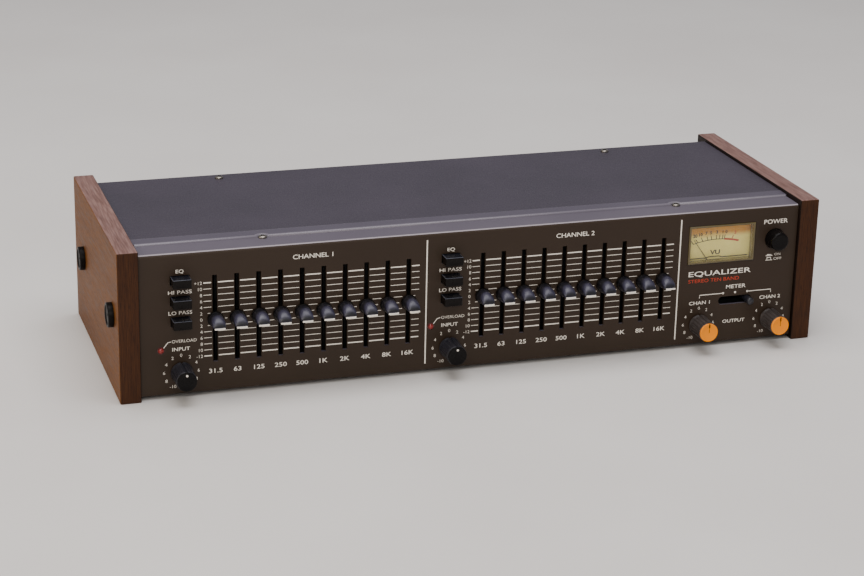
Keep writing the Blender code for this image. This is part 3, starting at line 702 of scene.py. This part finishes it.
def letters(words, bold):
    """Some words as a thin solid that lies in the XY plane, made once for each weight."""
    if (words, bold) not in LETTERS:
        curve = bpy.data.curves.new("lettering", "FONT")
        curve.body = words
        curve.resolution_u = 3
        curve.extrude = 0.01
        curve.offset = bold
        holder = placed("lettering", curve)
        LETTERS[words, bold] = worked_out(holder)
        bpy.data.objects.remove(holder)
        bpy.data.curves.remove(curve)
    return LETTERS[words, bold]


class Print:
    """Lettering and lines of one ink on one flat face, gathered into one thin piece.

    Places on the face are in millimetres: across to the right of a person who reads it, and up.
    """

    def __init__(self, name, look, depth, rear=False, bold=0.0):
        self.name, self.look, self.bold = name, look, bold
        self.bm = bmesh.new()
        side = -1 if rear else 1
        rows = ((side * MM, 0, 0, 0), (0, 0, -side * MM, depth), (0, MM, 0, 0), (0, 0, 0, 1))
        self.onto = Matrix(rows)

    def ribbon(self, points, width):
        """A line of even width through some points."""
        points = [Vector(p) for p in points]
        rings = []
        for k, point in enumerate(points):
            before = points[max(k - 1, 0)]
            after = points[min(k + 1, len(points) - 1)]
            along = (after - before).normalized()
            across = Vector((-along.y, along.x)) * width / 2
            corner = 1.0
            if 0 < k < len(points) - 1:
                first = (point - before).normalized()
                corner = 1 / max(0.5, first.dot(along))
            corners = ((1, INK), (-1, INK), (-1, -INK), (1, -INK))
            edges = [(point + across * corner * side, lift) for side, lift in corners]
            rings.append([self.bm.verts.new((at.x, at.y, lift)) for at, lift in edges])
        skin(self.bm, rings)
        self.bm.faces.new(rings[0])
        self.bm.faces.new(rings[-1])

    def level(self, left, right, up, width):
        """A horizontal line."""
        self.ribbon(((left, up), (right, up)), width)

    def arc(self, centre, radius, start, end, width):
        """Part of a circle, by angles from upright, in degrees, to the right."""
        points = []
        for k in range(ARC_STEPS + 1):
            angle = math.radians(start + (end - start) * k / ARC_STEPS)
            ray = Vector((math.sin(angle), math.cos(angle)))
            points.append(Vector(centre) + radius * ray)
        self.ribbon(points, width)

    def dot(self, across, up, radius):
        """A round dot."""
        sizes = {"radius1": radius, "radius2": radius, "depth": 2 * INK}
        spot = Matrix.Translation((across, up, 0))
        bmesh.ops.create_cone(self.bm, cap_ends=True, segments=20, matrix=spot, **sizes)

    def text(self, words, across, up, height, width=None, align=0.5, stretch=1.0):
        """Words of a cap height and width; align is 0 for left, 0.5 for middle, 1 for right."""
        mesh = letters(words, self.bold or (BOLD_SMALL if height < SMALL_PRINT else BOLD))
        xs = [v.co.x for v in mesh.vertices]
        ys = [v.co.y for v in mesh.vertices]
        tall, wide = max(ys) - min(ys), max(xs) - min(xs)
        if set(words) <= set("-."):
            tall = wide
        scale_y = height / tall
        scale_x = width / wide if width else scale_y * stretch
        start = across - wide * scale_x * align
        known = len(self.bm.verts)
        self.bm.from_mesh(mesh)
        self.bm.verts.ensure_lookup_table()
        for vertex in self.bm.verts[known:]:
            x, y, z = vertex.co
            vertex.co.x = start + (x - min(xs)) * scale_x
            vertex.co.y = up + (y - (min(ys) + max(ys)) / 2) * scale_y
            vertex.co.z = math.copysign(INK, z)

    def finish(self):
        """Carry the print onto its face, as one piece of the case."""
        bmesh.ops.remove_doubles(self.bm, verts=self.bm.verts, dist=SAME_POINT)
        bmesh.ops.transform(self.bm, matrix=self.onto, verts=self.bm.verts)
        finished(self.name, self.bm, self.look)


# ---- slide controls

GUARD_RADIUS = 5.2 * MM
GUARD_FRONT = 2.8 * MM
GUARD_BACK = 0.8 * MM
GUARD_EDGE = 0.4 * MM
CAP_RADIUS = 4.7 * MM
CAP_BARREL = 6.0 * MM
CAP_NOSE = 0.9 * MM
CAP_ROUNDNESS = 1.8
BLADE_HALF = 3.6 * MM
BLADE_HALF_HEIGHT = 0.75 * MM
BLADE_EDGE = 0.2 * MM
LEVER_HALVES = (0.8 * MM, 2.5 * MM)
LINE_HALVES = (3.4 * MM, 0.55 * MM)
LINE_THICK = 0.4 * MM
LINE_DROP = 1.9 * MM
FACE_STEPS = 14


def slider_sections(reach):
    """From the thin blade in front, up the slanted face, and along the barrel to the guard."""
    halves = (BLADE_HALF - BLADE_EDGE, BLADE_HALF_HEIGHT - BLADE_EDGE)
    sections = [(reach - OVERLAP / 2, *halves, 4.5, -LINE_DROP)]
    for k in range(FACE_STEPS + 1):
        angle = math.pi / 2 * (1 - k / FACE_STEPS)
        share = math.sin(angle) ** (2 / CAP_ROUNDNESS)
        rise = max(0.0, math.cos(angle)) ** (2 / CAP_ROUNDNESS)
        top = CAP_RADIUS * rise + (BLADE_HALF_HEIGHT - LINE_DROP) * (1 - rise)
        bottom = -CAP_RADIUS * (1 - share) - (BLADE_HALF_HEIGHT + LINE_DROP) * share
        wide = BLADE_HALF + (CAP_RADIUS - BLADE_HALF) * rise
        depth = CAP_BARREL + (reach - CAP_NOSE - CAP_BARREL) * share
        power = 2.0 + 0.9 * share ** 3
        sections.append((depth, wide, (top - bottom) / 2, power, (top + bottom) / 2))
    sections.append((GUARD_FRONT - 2 * OVERLAP, CAP_RADIUS, CAP_RADIUS, 2.0, 0))
    return sections


def sliders():
    """Each slide control's cap, the guard and lever behind it, black partly as painted shade, and
    its white line.
    """
    guard = [(0, GUARD_FRONT), *rounded(GUARD_RADIUS, GUARD_FRONT, GUARD_EDGE)]
    guard += [(GUARD_RADIUS, GUARD_BACK), (0, GUARD_BACK)]
    for channel in CHANNELS:
        for band in BANDS:
            node = f"slider_{channel}_{band}"
            spot, _, reach, tail = control(node)
            onto = facing("-Y", spot)
            bm = bmesh.new()
            loft(bm, slider_sections(reach), onto)
            finished(f"slide_cap_{channel}_{band}", bm, "slider", node, (node,))

            # The guard is black, partly as painted shade: the disc behind the cap lies in shadow.
            bm = bmesh.new()
            lathe(bm, guard, onto, 40)
            around(bm, spot, LEVER_HALVES, (FRONT - GUARD_BACK - OVERLAP, FRONT + tail))
            finished(f"slide_guard_{channel}_{band}", bm, "black", node)

            bm = bmesh.new()
            spot += Vector((0, -reach, -LINE_DROP))
            around(bm, spot, LINE_HALVES, (spot.y, spot.y + LINE_THICK), 0.08 * MM, 2)
            finished(f"slide_line_{channel}_{band}", bm, "white", node)


# ---- buttons and knobs

BUTTON_EDGE = 0.55 * MM
BUTTON_TAIL = 4.5 * MM
STEM = 1.5 * MM
DISH_SPREAD = 1.15
DISH_RADIUS = 1.0 * MM
DISH_DEPTH = 0.25 * MM


def push_buttons():
    """The six rectangular buttons, with rounded edges and a shallow finger dish."""
    for channel in CHANNELS:
        for kind in ("eq", "hi_pass", "lo_pass"):
            node = f"{kind}_button_{channel}"
            low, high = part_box(node)
            centre = middle(node)
            half = (high - low) / 2 * DISH_SPREAD
            bm = bmesh.new()
            soft_box(bm, low, (high.x, FRONT + BUTTON_TAIL, high.z), BUTTON_EDGE, 4)
            spot = Matrix.Translation((centre.x, low.y - DISH_RADIUS + DISH_DEPTH, centre.z))
            size = Matrix.Diagonal((half.x, DISH_RADIUS, half.z, 1))
            dish = bmesh.new()
            bmesh.ops.create_uvsphere(
                dish, u_segments=48, v_segments=32, radius=1.0, matrix=spot @ size
            )
            bm = carve(bm, [dish])
            around(bm, centre, (STEM, STEM), (FRONT + BUTTON_TAIL - OVERLAP, high.y))
            finished(f"{kind}_key_{channel}", bm, "key", node, (node,))


POWER_FACE_EDGE = 1.5 * MM
POWER_DISH = 0.35 * MM
POWER_TAPER = 0.6 * MM


def power_button():
    """The round power button: tapered, with a well rounded rim and a dished face."""
    node = "power_button"
    spot, radius, reach, tail = control(node)
    face = radius - POWER_TAPER
    profile = []
    for share in (0, 0.35, 0.6, 0.82):
        height = reach - POWER_DISH * (1 - share ** 2)
        profile.append(((face - POWER_FACE_EDGE) * share, height))
    profile += rounded(face, reach, POWER_FACE_EDGE, 7)
    profile += [(radius, 0.5 * MM), (radius, -BUTTON_TAIL), (STEM, -BUTTON_TAIL)]
    profile += [(STEM, -tail), (0, -tail)]
    turned("power_key", profile, facing("-Y", spot), 64, "black", node, (node,))


KNOB_FOOT = 1.4 * MM
KNOB_WAIST = 0.25 * MM
KNOB_TAPER = 0.55 * MM
KNOB_FLUTES = 18
FLUTE_DEPTH = 0.42 * MM
FLUTE_STEPS = 6
GROOVE_HALF = 0.62 * MM
GROOVE_DEPTH = 0.9 * MM
GROOVE_LEAST_RADIUS = 5 * MM
CAP_THICK = 1.3 * MM
CAP_MARGIN = 0.25 * MM
CAP_SETBACK = 0.06 * MM


def knob(node, grip_look, cap_look):
    """A fluted knob on its shaft, with a cap let into its face; gives the cap's radius."""
    spot, base, reach, tail = control(node)
    top = reach - CAP_THICK
    face = base - KNOB_TAPER
    waist = base - KNOB_WAIST

    def fluted(radius, height, angle):
        across = abs(angle - math.pi / 2) * radius
        if height < top and across < GROOVE_HALF and radius > GROOVE_LEAST_RADIUS:
            return radius - GROOVE_DEPTH
        depth = 1.0
        for room in (height - KNOB_FOOT - 1.8 * MM, top - 0.5 * MM - height):
            depth *= min(1.0, max(0.0, room / MM))
        wave = 0.5 + 0.5 * math.cos(KNOB_FLUTES * angle)
        return radius - FLUTE_DEPTH * depth * wave ** 2

    profile = [(0, top), (face - 0.3 * MM, top)]
    for k in range(11):
        height = top - 0.3 * MM - (top - KNOB_FOOT - 2.0 * MM) * k / 10
        share = (height - KNOB_FOOT) / (reach - KNOB_FOOT)
        profile.append((waist + (face - waist) * share, height))
    foot = ((-0.15, 1.5), (0, 1.3), (0, 0.2), (-0.2, 0))
    profile += [(base + inset, KNOB_FOOT + up) for inset, up in in_mm(*foot)]
    profile += [(STEM * 2, KNOB_FOOT), (STEM * 2, -tail), (0, -tail)]
    onto = facing("-Y", spot)
    steps = KNOB_FLUTES * FLUTE_STEPS
    details = (grip_look, node, (node,))
    turned(f"{node}_grip", profile, onto, steps, *details, radius_at=fluted, crease=40)

    rim = face - CAP_MARGIN
    lip = reach - CAP_SETBACK
    under = top - OVERLAP / 2
    profile = [(0, lip - 0.1 * MM), (rim - 0.9 * MM, lip - 0.1 * MM), (rim - 0.7 * MM, lip)]
    profile += [*rounded(rim, lip, 0.25 * MM), (rim, under), (0, under)]
    turned(f"{node}_cap", profile, onto, 72, cap_look, node)
    return rim


POINTER_HALF = 0.42 * MM
POINTER_LENGTH = 2.7 * MM
DOT_HEIGHT = 4.3 * MM


def knobs():
    """Black input knobs with a white dot, and orange-faced output knobs with a black line."""
    dot = in_mm((0, 0.28), (0.75, 0.24), (0.75, 0), (0, 0))
    for channel in CHANNELS:
        node = f"input_knob_{channel}"
        knob(node, "slate", "black")
        spot, _, reach, _ = control(node)
        spot += Vector((0, 0.3 * MM - reach, DOT_HEIGHT))
        turned(f"{node}_dot", dot, facing("-Y", spot), 20, "white", node)

        node = f"output_knob_{channel}"
        rim = knob(node, "knob", "orange")
        spot, _, reach, _ = control(node)
        front = FRONT - reach
        bm = bmesh.new()
        spot.z += rim - POINTER_LENGTH / 2
        halves = (POINTER_HALF, POINTER_LENGTH / 2)
        around(bm, spot, halves, (front, front + 0.5 * MM), 0.05 * MM, 1)
        spot.z -= rim / 2
        halves = (0.3 * POINTER_HALF, (rim - POINTER_LENGTH) / 2)
        around(bm, spot, halves, (front + 0.1 * MM, front + 0.4 * MM))
        finished(f"{node}_pointer", bm, "black", node)


def selector_lever():
    """The meter selector's round bat, with a domed end."""
    node = "meter_selector_lever"
    spot, radius, reach, tail = control(node)
    neck = radius * 0.92
    profile = [(0, reach)] + rounded(radius, reach, 1.6 * MM, 6)[1:]
    profile += [(neck, 1.0 * MM), (neck, -tail), (0, -tail)]
    turned("meter_selector_bat", profile, facing("-Y", spot), 40, "slate", node, (node,))


# ---- screws, caps and the cover's ridge

SCREW_HEAD = 2.9 * MM
SCREW_HEIGHT = 1.8 * MM
SCREW_X = 0.1435
SCREW_FRONT_Y = -0.0582
SCREW_REAR_Y = 0.0725
NOTCH = 4.6 * MM
BEAD = 1.9 * MM
BEAD_SINK = 0.55 * MM
BEAD_SETBACK = 0.35 * MM
SMALL_SCREW = 0.85
SCREW_TURN = 27
RECESS_LONG, RECESS_SHORT = 0.56, 0.14


def screw(name, at, direction, size=1.0):
    """A pan-head screw with a cross recess."""
    radius = SCREW_HEAD * size
    height = SCREW_HEIGHT * size
    profile = [(0, height)]
    for k in range(1, 8):
        angle = math.pi / 2 * k / 7
        profile.append((radius * math.sin(angle), height * (0.35 + 0.65 * math.cos(angle))))
    profile += [(radius, 0), (0, 0)]
    head = bmesh.new()
    lathe(head, profile, Matrix.Identity(4), 36)
    arms = []
    for x, y in ((RECESS_LONG, RECESS_SHORT), (RECESS_SHORT, RECESS_LONG)):
        x, y = x * radius, y * radius
        arms.append(bmesh.new())
        soft_box(arms[-1], (-x, -y, height * 0.45), (x, y, height * 1.2))
    bm = carve(head, arms)
    turn = Matrix.Rotation(math.radians(SCREW_TURN), 4, "Z")
    bmesh.ops.transform(bm, matrix=facing(direction, at) @ turn, verts=bm.verts)
    finished(name, bm, "nickel")


def screws():
    """The four bright screws on top, and those on the rear and underneath."""
    for side, x in (("left", -SCREW_X), ("right", SCREW_X)):
        screw(f"top_screw_{side}_front", (x, SCREW_FRONT_Y, STRIP_TOP), "+Z")
        screw(f"top_screw_{side}_rear", (x, SCREW_REAR_Y, COVER_HIGH.z), "+Z")
    low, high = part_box("rear_panel")
    inset = 8 * MM
    for side, x in (("left", inset - CASE_HALF), ("middle", 0), ("right", CASE_HALF - inset)):
        for row, z in (("high", high.z - inset), ("low", low.z + inset)):
            screw(f"rear_screw_{side}_{row}", (x, REAR, z), "+Y", SMALL_SCREW)
    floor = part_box("chassis_tray")[0].z
    for side, x in (("left", -0.180), ("middle", 0), ("right", 0.180)):
        for row, y in (("front", -0.048), ("rear", 0.062)):
            screw(f"base_screw_{side}_{row}", (x, y, floor), "-Z", SMALL_SCREW)


def bolt_caps():
    """The round caps over the bolts in the wooden panels: a raised rim and a small hole."""
    for side, direction in (("left", "-X"), ("right", "+X")):
        for place in ("front", "rear"):
            node = f"bolt_cap_{side}_{place}"
            low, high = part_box(node)
            centre = middle(node)
            centre.x = high.x if side == "left" else low.x
            radius, proud = (high.z - low.z) / 2 / MM, (high.x - low.x) / MM
            dish = proud - 0.8
            profile = [(0, dish - 0.7), (0.7, dish - 0.7), (0.75, dish - 0.05), (0.9, dish)]
            profile += [(radius - 2.4, dish), (radius - 2.0, dish + 0.15)]
            profile += [(radius - 1.5, proud - 0.05), *rounded(radius, proud, 0.9)]
            profile = in_mm(*profile, (radius, 0), (0, 0))
            onto = facing(direction, centre)
            turned(f"{node}_moulding", profile, onto, 64, "cap", "case", (node,))


def ridge_path():
    """The top cover's front edge, seen from above, with a round bite at each front screw."""
    edge = COVER_LOW.y + BEAD_SETBACK
    bite = NOTCH + BEAD_SETBACK
    open_half = math.acos((edge - SCREW_FRONT_Y) / bite)
    points = [(-CASE_HALF + BEAD / 2, edge)]
    for x in (-SCREW_X, SCREW_X):
        for k in range(17):
            angle = open_half * (k / 8 - 1)
            points.append((x + bite * math.sin(angle), SCREW_FRONT_Y + bite * math.cos(angle)))
    points.append((CASE_HALF - BEAD / 2, edge))
    return points


def cover_ridge():
    """The rounded bead along the front edge of the top cover."""
    curve = bpy.data.curves.new("ridge", "CURVE")
    curve.dimensions = "3D"
    curve.bevel_depth = BEAD
    curve.bevel_resolution = 5
    curve.use_fill_caps = True
    spline = curve.splines.new("POLY")
    points = ridge_path()
    spline.points.add(len(points) - 1)
    for point, (x, y) in zip(spline.points, points):
        point.co = (x, y, STRIP_TOP - BEAD_SINK, 1)
    holder = placed("ridge", curve)
    bm = bmesh.new()
    bm.from_mesh(worked_out(holder))
    bmesh.ops.remove_doubles(bm, verts=bm.verts, dist=0.01 * MM)
    bpy.data.objects.remove(holder)
    finished("cover_front_bead", bm, "ridge", crease=60)


# ---- level meter

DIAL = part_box("meter_dial")[0].y
METER_WALL = 1.3 * MM
PIVOT = (172.0, 50.4)
ARC_CENTRE = (170.6, 12.4)
ARC_RADIUS = 62.6
RED_START = 5.1
TICK = 3.0
DIAL_BOLD = 0.03
# The ticks' angles about the needle's pivot, in degrees from upright.
TICKS = (-40, -34, -26.5, -18.4, -12.3, -4.2, 1.1, 6, 9.2)
RED_TICKS = (22,)
MARKS = (("20", 154.3, 78.4), ("10", 158.4, 79.1), ("7", 162.5, 79.7), ("5", 165.9, 79.9),
         ("3", 170.4, 80.1), ("1", 174.7, 80.0), ("0", 177.3, 79.9))
MARK_HEIGHT = 2.4


def arc_height(across):
    """How high the dial's arc is at a place across it."""
    return ARC_CENTRE[1] + math.sqrt(ARC_RADIUS ** 2 - (across - ARC_CENTRE[0]) ** 2)


def tick_foot(angle):
    """Where the ray from the needle's pivot at an angle meets the arc."""
    across = PIVOT[0]
    for _ in range(12):
        across = PIVOT[0] + math.tan(math.radians(angle)) * (arc_height(across) - PIVOT[1])
    return Vector((across, arc_height(across)))


def dial_print():
    """The meter's scale: black up to zero, red above it."""
    black = Print("meter_scale_black", "needle", DIAL - INK_LIFT, bold=DIAL_BOLD)
    red = Print("meter_scale_red", "red", DIAL - INK_LIFT, bold=DIAL_BOLD)
    black.arc(ARC_CENTRE, ARC_RADIUS, -16.3, RED_START, 0.45)
    red.arc(ARC_CENTRE, ARC_RADIUS, RED_START, 15.0, 1.3)
    for ink_print, angles in ((black, TICKS), (red, RED_TICKS)):
        for angle in angles:
            foot = tick_foot(angle)
            ray = (foot - Vector(PIVOT)).normalized()
            ink_print.ribbon((foot, foot + ray * TICK), 0.5)
    for mark in MARKS:
        black.text(*mark, MARK_HEIGHT)
    red.text("3", 184.0, 79.0, MARK_HEIGHT)
    black.text("VU", 169.7, 65.8, 3.2, 7.4)
    black.finish()
    red.finish()


def meter():
    """The cover's moulded rim, the movement's edge under the dial with a painted shadow line
    along the dial's foot, and the fine needle.
    """
    low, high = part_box("meter_window")
    left, right = low.x + METER_WALL, high.x - METER_WALL
    bottom, top = low.z + METER_WALL, high.z - METER_WALL
    bm = bmesh.new()
    soft_box(bm, low, high, 0.35 * MM, 3)
    hole = bmesh.new()
    soft_box(hole, (left, low.y - MM, bottom), (right, high.y + MM, top))
    finished("meter_rim", carve(bm, [hole]), "rim", "case", ("meter_window",))
    bm = bmesh.new()
    soft_box(bm, (left, low.y + 0.3 * MM, bottom), (right, low.y + 1.1 * MM, top))
    finished("meter_glass", bm, "clear")

    # A dark line along the dial's foot: painted shadow, with a bump for the movement's cover in
    # the middle.
    movement_and_shadow = Print("meter_movement_edge_and_shadow", "needle", DIAL - 2 * INK_LIFT)
    shadow_line_height = bottom / MM + 0.35
    movement_top = bottom / MM + 1.1
    outline = [(left / MM + 0.3, shadow_line_height), (163.0, shadow_line_height), (165.5, movement_top)]
    outline += [(172.5, movement_top), (175.0, shadow_line_height), (right / MM - 0.3, shadow_line_height)]
    movement_and_shadow.ribbon(outline, 0.6)
    movement_and_shadow.finish()

    joint = next(j for j in frame["joints"] if j["name"] == "meter_needle_swing")
    pivot = Vector(joint["pos_m"])
    low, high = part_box("meter_needle")
    tip = Vector((low.x + 0.2 * MM, pivot.y, high.z - 0.2 * MM))
    length = (tip - pivot).length
    lean = math.atan2(tip.x - pivot.x, tip.z - pivot.z)
    pivot.y = (low.y + high.y) / 2
    sections = (
        (length - 0.2 * MM, 0.18 * MM, 0.10 * MM, 3, 0),
        (length * 0.5, 0.24 * MM, 0.12 * MM, 3, 0),
        (-2.0 * MM, 0.32 * MM, 0.16 * MM, 3, 0),
    )
    bm = bmesh.new()
    loft(bm, sections, Matrix.Translation(pivot) @ Matrix.Rotation(lean, 4, "Y"), 12)
    pivot.y += 0.2 * MM
    lathe(bm, in_mm((0, 0.6), (2.2, 0.6), (2.2, 0), (0, 0)), facing("-Y", pivot), 24)
    finished("meter_pointer", bm, "needle", "meter_needle", ("meter_needle",))


LAMP_FLANGE = 0.5 * MM
LAMP_STEPS = 9


def lamps():
    """The overload lamps' domed lenses, each with a thin flange on the panel."""
    for channel in CHANNELS:
        node = f"overload_lamp_{channel}"
        spot, _, radius, tail = control(node)
        brim = radius + LAMP_FLANGE
        profile = [(0, radius)] + rounded(radius, radius, radius, LAMP_STEPS)[1:-1]
        profile += [(radius, 0.35 * MM), (brim - 0.1 * MM, 0.3 * MM), (brim, 0.05 * MM)]
        profile += [(radius, 0.05 * MM), (radius, -tail), (0, -tail)]
        name = f"overload_lens_{channel}"
        turned(name, profile, facing("-Y", spot), 32, "lamp", "case", (node,))


# ---- front legends

LINE_CENTRE = 51.6
LINE_STEP = 4.117
# Half the length of the scale lines between the slots, and the length of those outside them,
# on the left and on the right: at zero, at 2 dB either side of it, and everywhere else.
LINE_LENGTHS = {0: (0.8, 0.8, 0.8), 1: (2.9, 2.5, 2.6)}
FULL_LENGTHS = (5.1, 5.0, 5.2)
LINE_WEIGHT, END_LINE_WEIGHT = 0.36, 0.75
SLOT_ROOM = 2.0
NUMBER_HEIGHT = 2.1
BAND_NAMES = ("31.5", "63", "125", "250", "500", "1K", "2K", "4K", "8K", "16K")
KNOB_SCALE = ("-10", "8", "6", "4", "2", "0", "2", "4", "6", "8", "10")
KNOB_RING = 11.2


def channel_legend(white, channel):
    """The scale lines, numbers and names of one channel."""
    xs = [middle(f"slider_{channel}_{band}").x / MM for band in BANDS]
    first, last = xs[0] - SLOT_ROOM - 0.3, xs[-1] + SLOT_ROOM
    for k in range(-6, 7):
        up = LINE_CENTRE + k * LINE_STEP
        weight = END_LINE_WEIGHT if abs(k) == 6 else LINE_WEIGHT
        half, stub, tail = LINE_LENGTHS.get(abs(k), FULL_LENGTHS)
        for left, right in zip(xs, xs[1:]):
            centre = (left + right) / 2
            white.level(centre - half, centre + half, up, weight)
        white.level(first - stub, first, up, weight)
        white.level(last, last + tail, up, weight)
        sign = {6: "+", -6: "-"}.get(k, "")
        white.text(f"{sign}{abs(2 * k)}", xs[0] - 8.2, up, NUMBER_HEIGHT, align=1.0, stretch=1.1)
    for x, name in zip(xs, BAND_NAMES):
        white.text(name, x, 16.3, 3.0, stretch=1.3)
    centre = (xs[0] + xs[-1]) / 2
    white.text(f"CHANNEL {channel}", centre, 88.8, 3.0, 26.0 + channel / 2)


def control_legend(white, channel):
    """The names beside one channel's buttons, lamp and input knob."""
    column = middle(f"eq_button_{channel}").x / MM
    white.text("EQ", column, 85.2, 2.8, 5.0)
    white.text("HI PASS", column, 71.5, 2.4, 15.2)
    white.text("LO PASS", column, 57.7, 2.4, 15.2)
    lamp = middle(f"overload_lamp_{channel}").x / MM
    white.ribbon(((lamp + 1.5, 34.3), (lamp + 4.6, 38.2), (lamp + 6.6, 38.6)), 0.45)
    white.text("OVERLOAD", lamp + 7.2, 38.6, 2.0, 16.0, align=0.0)
    white.text("INPUT", lamp + 7.4, 33.2, 2.4, 11.4, align=0.0)


def knob_legend(white, node):
    """The numbers round a knob."""
    centre = middle(node) / MM
    for k, words in enumerate(KNOB_SCALE):
        angle = math.radians(-150 + 30 * k)
        across = centre.x + KNOB_RING * math.sin(angle)
        up = centre.z + KNOB_RING * math.cos(angle)
        white.text(words, across, up, NUMBER_HEIGHT, stretch=1.1)


def meter_legend(white, red):
    """Everything printed to the right of the second divider."""
    white.text("EQUALIZER", 148.2, 53.0, 4.2, 46.2, align=0.0)
    red.text("STEREO TEN BAND", 148.3, 48.2, 2.5, 37.6, align=0.0)
    white.text("METER", 184.0, 42.2, 2.6, 14.6)
    for across in (174.75, 183.75, 192.9):
        white.dot(across, 37.75, 0.75)
    white.ribbon(((174.75, 37.75), (157.3, 37.75), (157.3, 35.6)), 0.5)
    white.ribbon(((192.9, 37.75), (210.6, 37.75), (210.6, 35.6)), 0.5)
    white.text("CHAN 1", 157.5, 32.3, 2.5, 15.4)
    white.text("CHAN 2", 210.3, 32.3, 2.5, 15.6)
    white.text("OUTPUT", 184.0, 17.1, 2.4, 16.6)
    white.text("POWER", 210.8, 86.75, 3.1, 17.6)
    white.text("ON", 213.6, 63.0, 1.7, 4.4)
    white.text("OFF", 213.9, 59.8, 1.8, 6.0)
    for up, rise in ((62.3, 0.7), (59.1, 1.9)):
        white.level(204.9, 209.9, up, 0.4)
        white.ribbon(((206.0, up), (206.0, up + rise), (208.8, up + rise), (208.8, up)), 0.4)


def front_legends():
    """All the print on the front panel."""
    white = Print("front_print_white", "white", FRONT - INK_LIFT / 2)
    red = Print("front_print_red", "red", FRONT - INK_LIFT / 2)
    for channel in CHANNELS:
        channel_legend(white, channel)
        control_legend(white, channel)
        knob_legend(white, f"input_knob_{channel}")
        knob_legend(white, f"output_knob_{channel}")
    for across in (-38.25, 140.7):
        white.ribbon(((across, 7.2), (across, 93.0)), 0.85)
    meter_legend(white, red)
    white.finish()
    red.finish()


# ---- rear

SOCKET_NAMES = ("IN 1", "IN 2", "OUT 1", "OUT 2")
SOCKET_PITCH = 20 * MM
SOCKET_BOARD = 1.5 * MM
SOCKET_BORE = 2.9
BARREL = 4.1


def rear_fittings():
    """The phono sockets on their insulating plate, the cord bush and their plain legends."""
    node = "phono_socket_plate"
    low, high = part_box(node)
    face = low.y + SOCKET_BOARD
    bm = bmesh.new()
    soft_box(bm, low, (high.x, face, high.z), 0.4 * MM)
    finished("socket_board", bm, "black", "case", (node,))
    xs = [(low.x + high.x) / 2 + SOCKET_PITCH * (k - 1.5) for k in range(4)]
    zs = [(low.z + high.z) / 2 + SOCKET_PITCH * (k - 0.5) for k in range(2)]
    tip = (high.y - face) / MM
    barrel = [(SOCKET_BORE, tip - 0.5), (SOCKET_BORE + 0.2, tip), (BARREL - 0.3, tip)]
    barrel += [(BARREL, tip - 0.3), (BARREL, 1.6), (BARREL + 1.6, 1.5), (BARREL + 1.8, 1.2)]
    barrel += [(BARREL + 1.8, 0), (SOCKET_BORE, 0), (SOCKET_BORE, tip - 0.5)]
    insulator = [(1.6, tip - 1.2), (2.85, tip - 1.4), (2.85, 0), (1.6, 0), (1.6, tip - 1.2)]
    for name, profile, steps, look in (
        ("socket_barrels", barrel, 36, "socket"),
        ("socket_insulators", insulator, 28, "white"),
    ):
        bm = bmesh.new()
        for x in xs:
            for z in zs:
                lathe(bm, in_mm(*profile), facing("+Y", (x, face, z)), steps)
        finished(name, bm, look)

    node = "cord_gland"
    low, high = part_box(node)
    centre = middle(node)
    tip = (high.y - REAR) / MM
    inside = (REAR - low.y) / MM
    bush = [(1.9, tip), (3.4, tip)]
    for k in range(4):
        height = tip - 1.0 - 1.2 * k
        bush += [(3.7 + 0.2 * k, height), (3.2 + 0.2 * k, height - 0.3)]
    bush += [(4.6, 2.5), (7.8, 2.5), (8.0, 2.2), (8.0, 0.3), (5.5, 0.3)]
    bush += [(5.5, inside), (1.9, inside), (1.9, tip)]
    onto = facing("+Y", (centre.x, REAR, centre.z))
    turned("cord_bush", in_mm(*bush), onto, 40, "black", "case", (node,))

    black = Print("rear_print", "needle", REAR + INK_LIFT / 2, rear=True)
    for x, words in zip(reversed(xs), SOCKET_NAMES):
        black.text(words, -x / MM, zs[1] / MM + 15.0, 3.0)
    black.text("CHANNEL 1", -xs[0] / MM + 24.0, zs[1] / MM, 2.6)
    black.text("CHANNEL 2", -xs[0] / MM + 24.0, zs[0] / MM, 2.6)
    black.text("AC POWER", -centre.x / MM, centre.z / MM + 15.0, 3.0)
    black.finish()


# ---- stage


def floor():
    """A plain pale floor."""
    look = Look("pale_floor", 0.6)
    look.colour(look.mottle(look.noise(5, 4.0), tone(214, 210, 206), tone(220, 217, 213)))
    bm = bmesh.new()
    bmesh.ops.create_grid(bm, x_segments=1, y_segments=1, size=5.0)
    mesh = bpy.data.meshes.new("floor")
    bm.to_mesh(mesh)
    bm.free()
    mesh.materials.append(look.material)
    placed("floor", mesh)


def area_light(name, place, target, size, power, colour):
    """A soft square light that faces a point."""
    data = bpy.data.lights.new(name, "AREA")
    data.size = size
    data.energy = power
    data.color = colour
    aim = aimed(Vector(target) - Vector(place))
    placed(name, data).matrix_world = Matrix.Translation(place) @ aim


def studio():
    """Soft light from above, a warm side light on the left and a gentle fill in front."""
    area_light("overhead", (0.0, -0.1, 2.0), (0, 0, 0.05), 1.6, 40, (1.0, 0.98, 1.0))
    area_light("left_side", (-1.9, -0.2, 0.9), (0, 0, 0.05), 1.0, 12, (1.0, 0.88, 0.70))
    area_light("front_fill", (-0.7, -1.9, 1.3), (-0.1, 0, 0.05), 1.4, 21, (1.0, 0.95, 0.88))
    world = bpy.data.worlds.new("studio")
    world.use_nodes = True
    background = world.node_tree.nodes["Background"]
    background.inputs["Color"].default_value = (0.86, 0.86, 0.90, 1.0)
    background.inputs["Strength"].default_value = 0.40
    bpy.context.scene.world = world


make_camera()
dress_nodes()
sliders()
push_buttons()
power_button()
knobs()
selector_lever()
screws()
bolt_caps()
cover_ridge()
dial_print()
meter()
lamps()
front_legends()
rear_fittings()
floor()
studio()
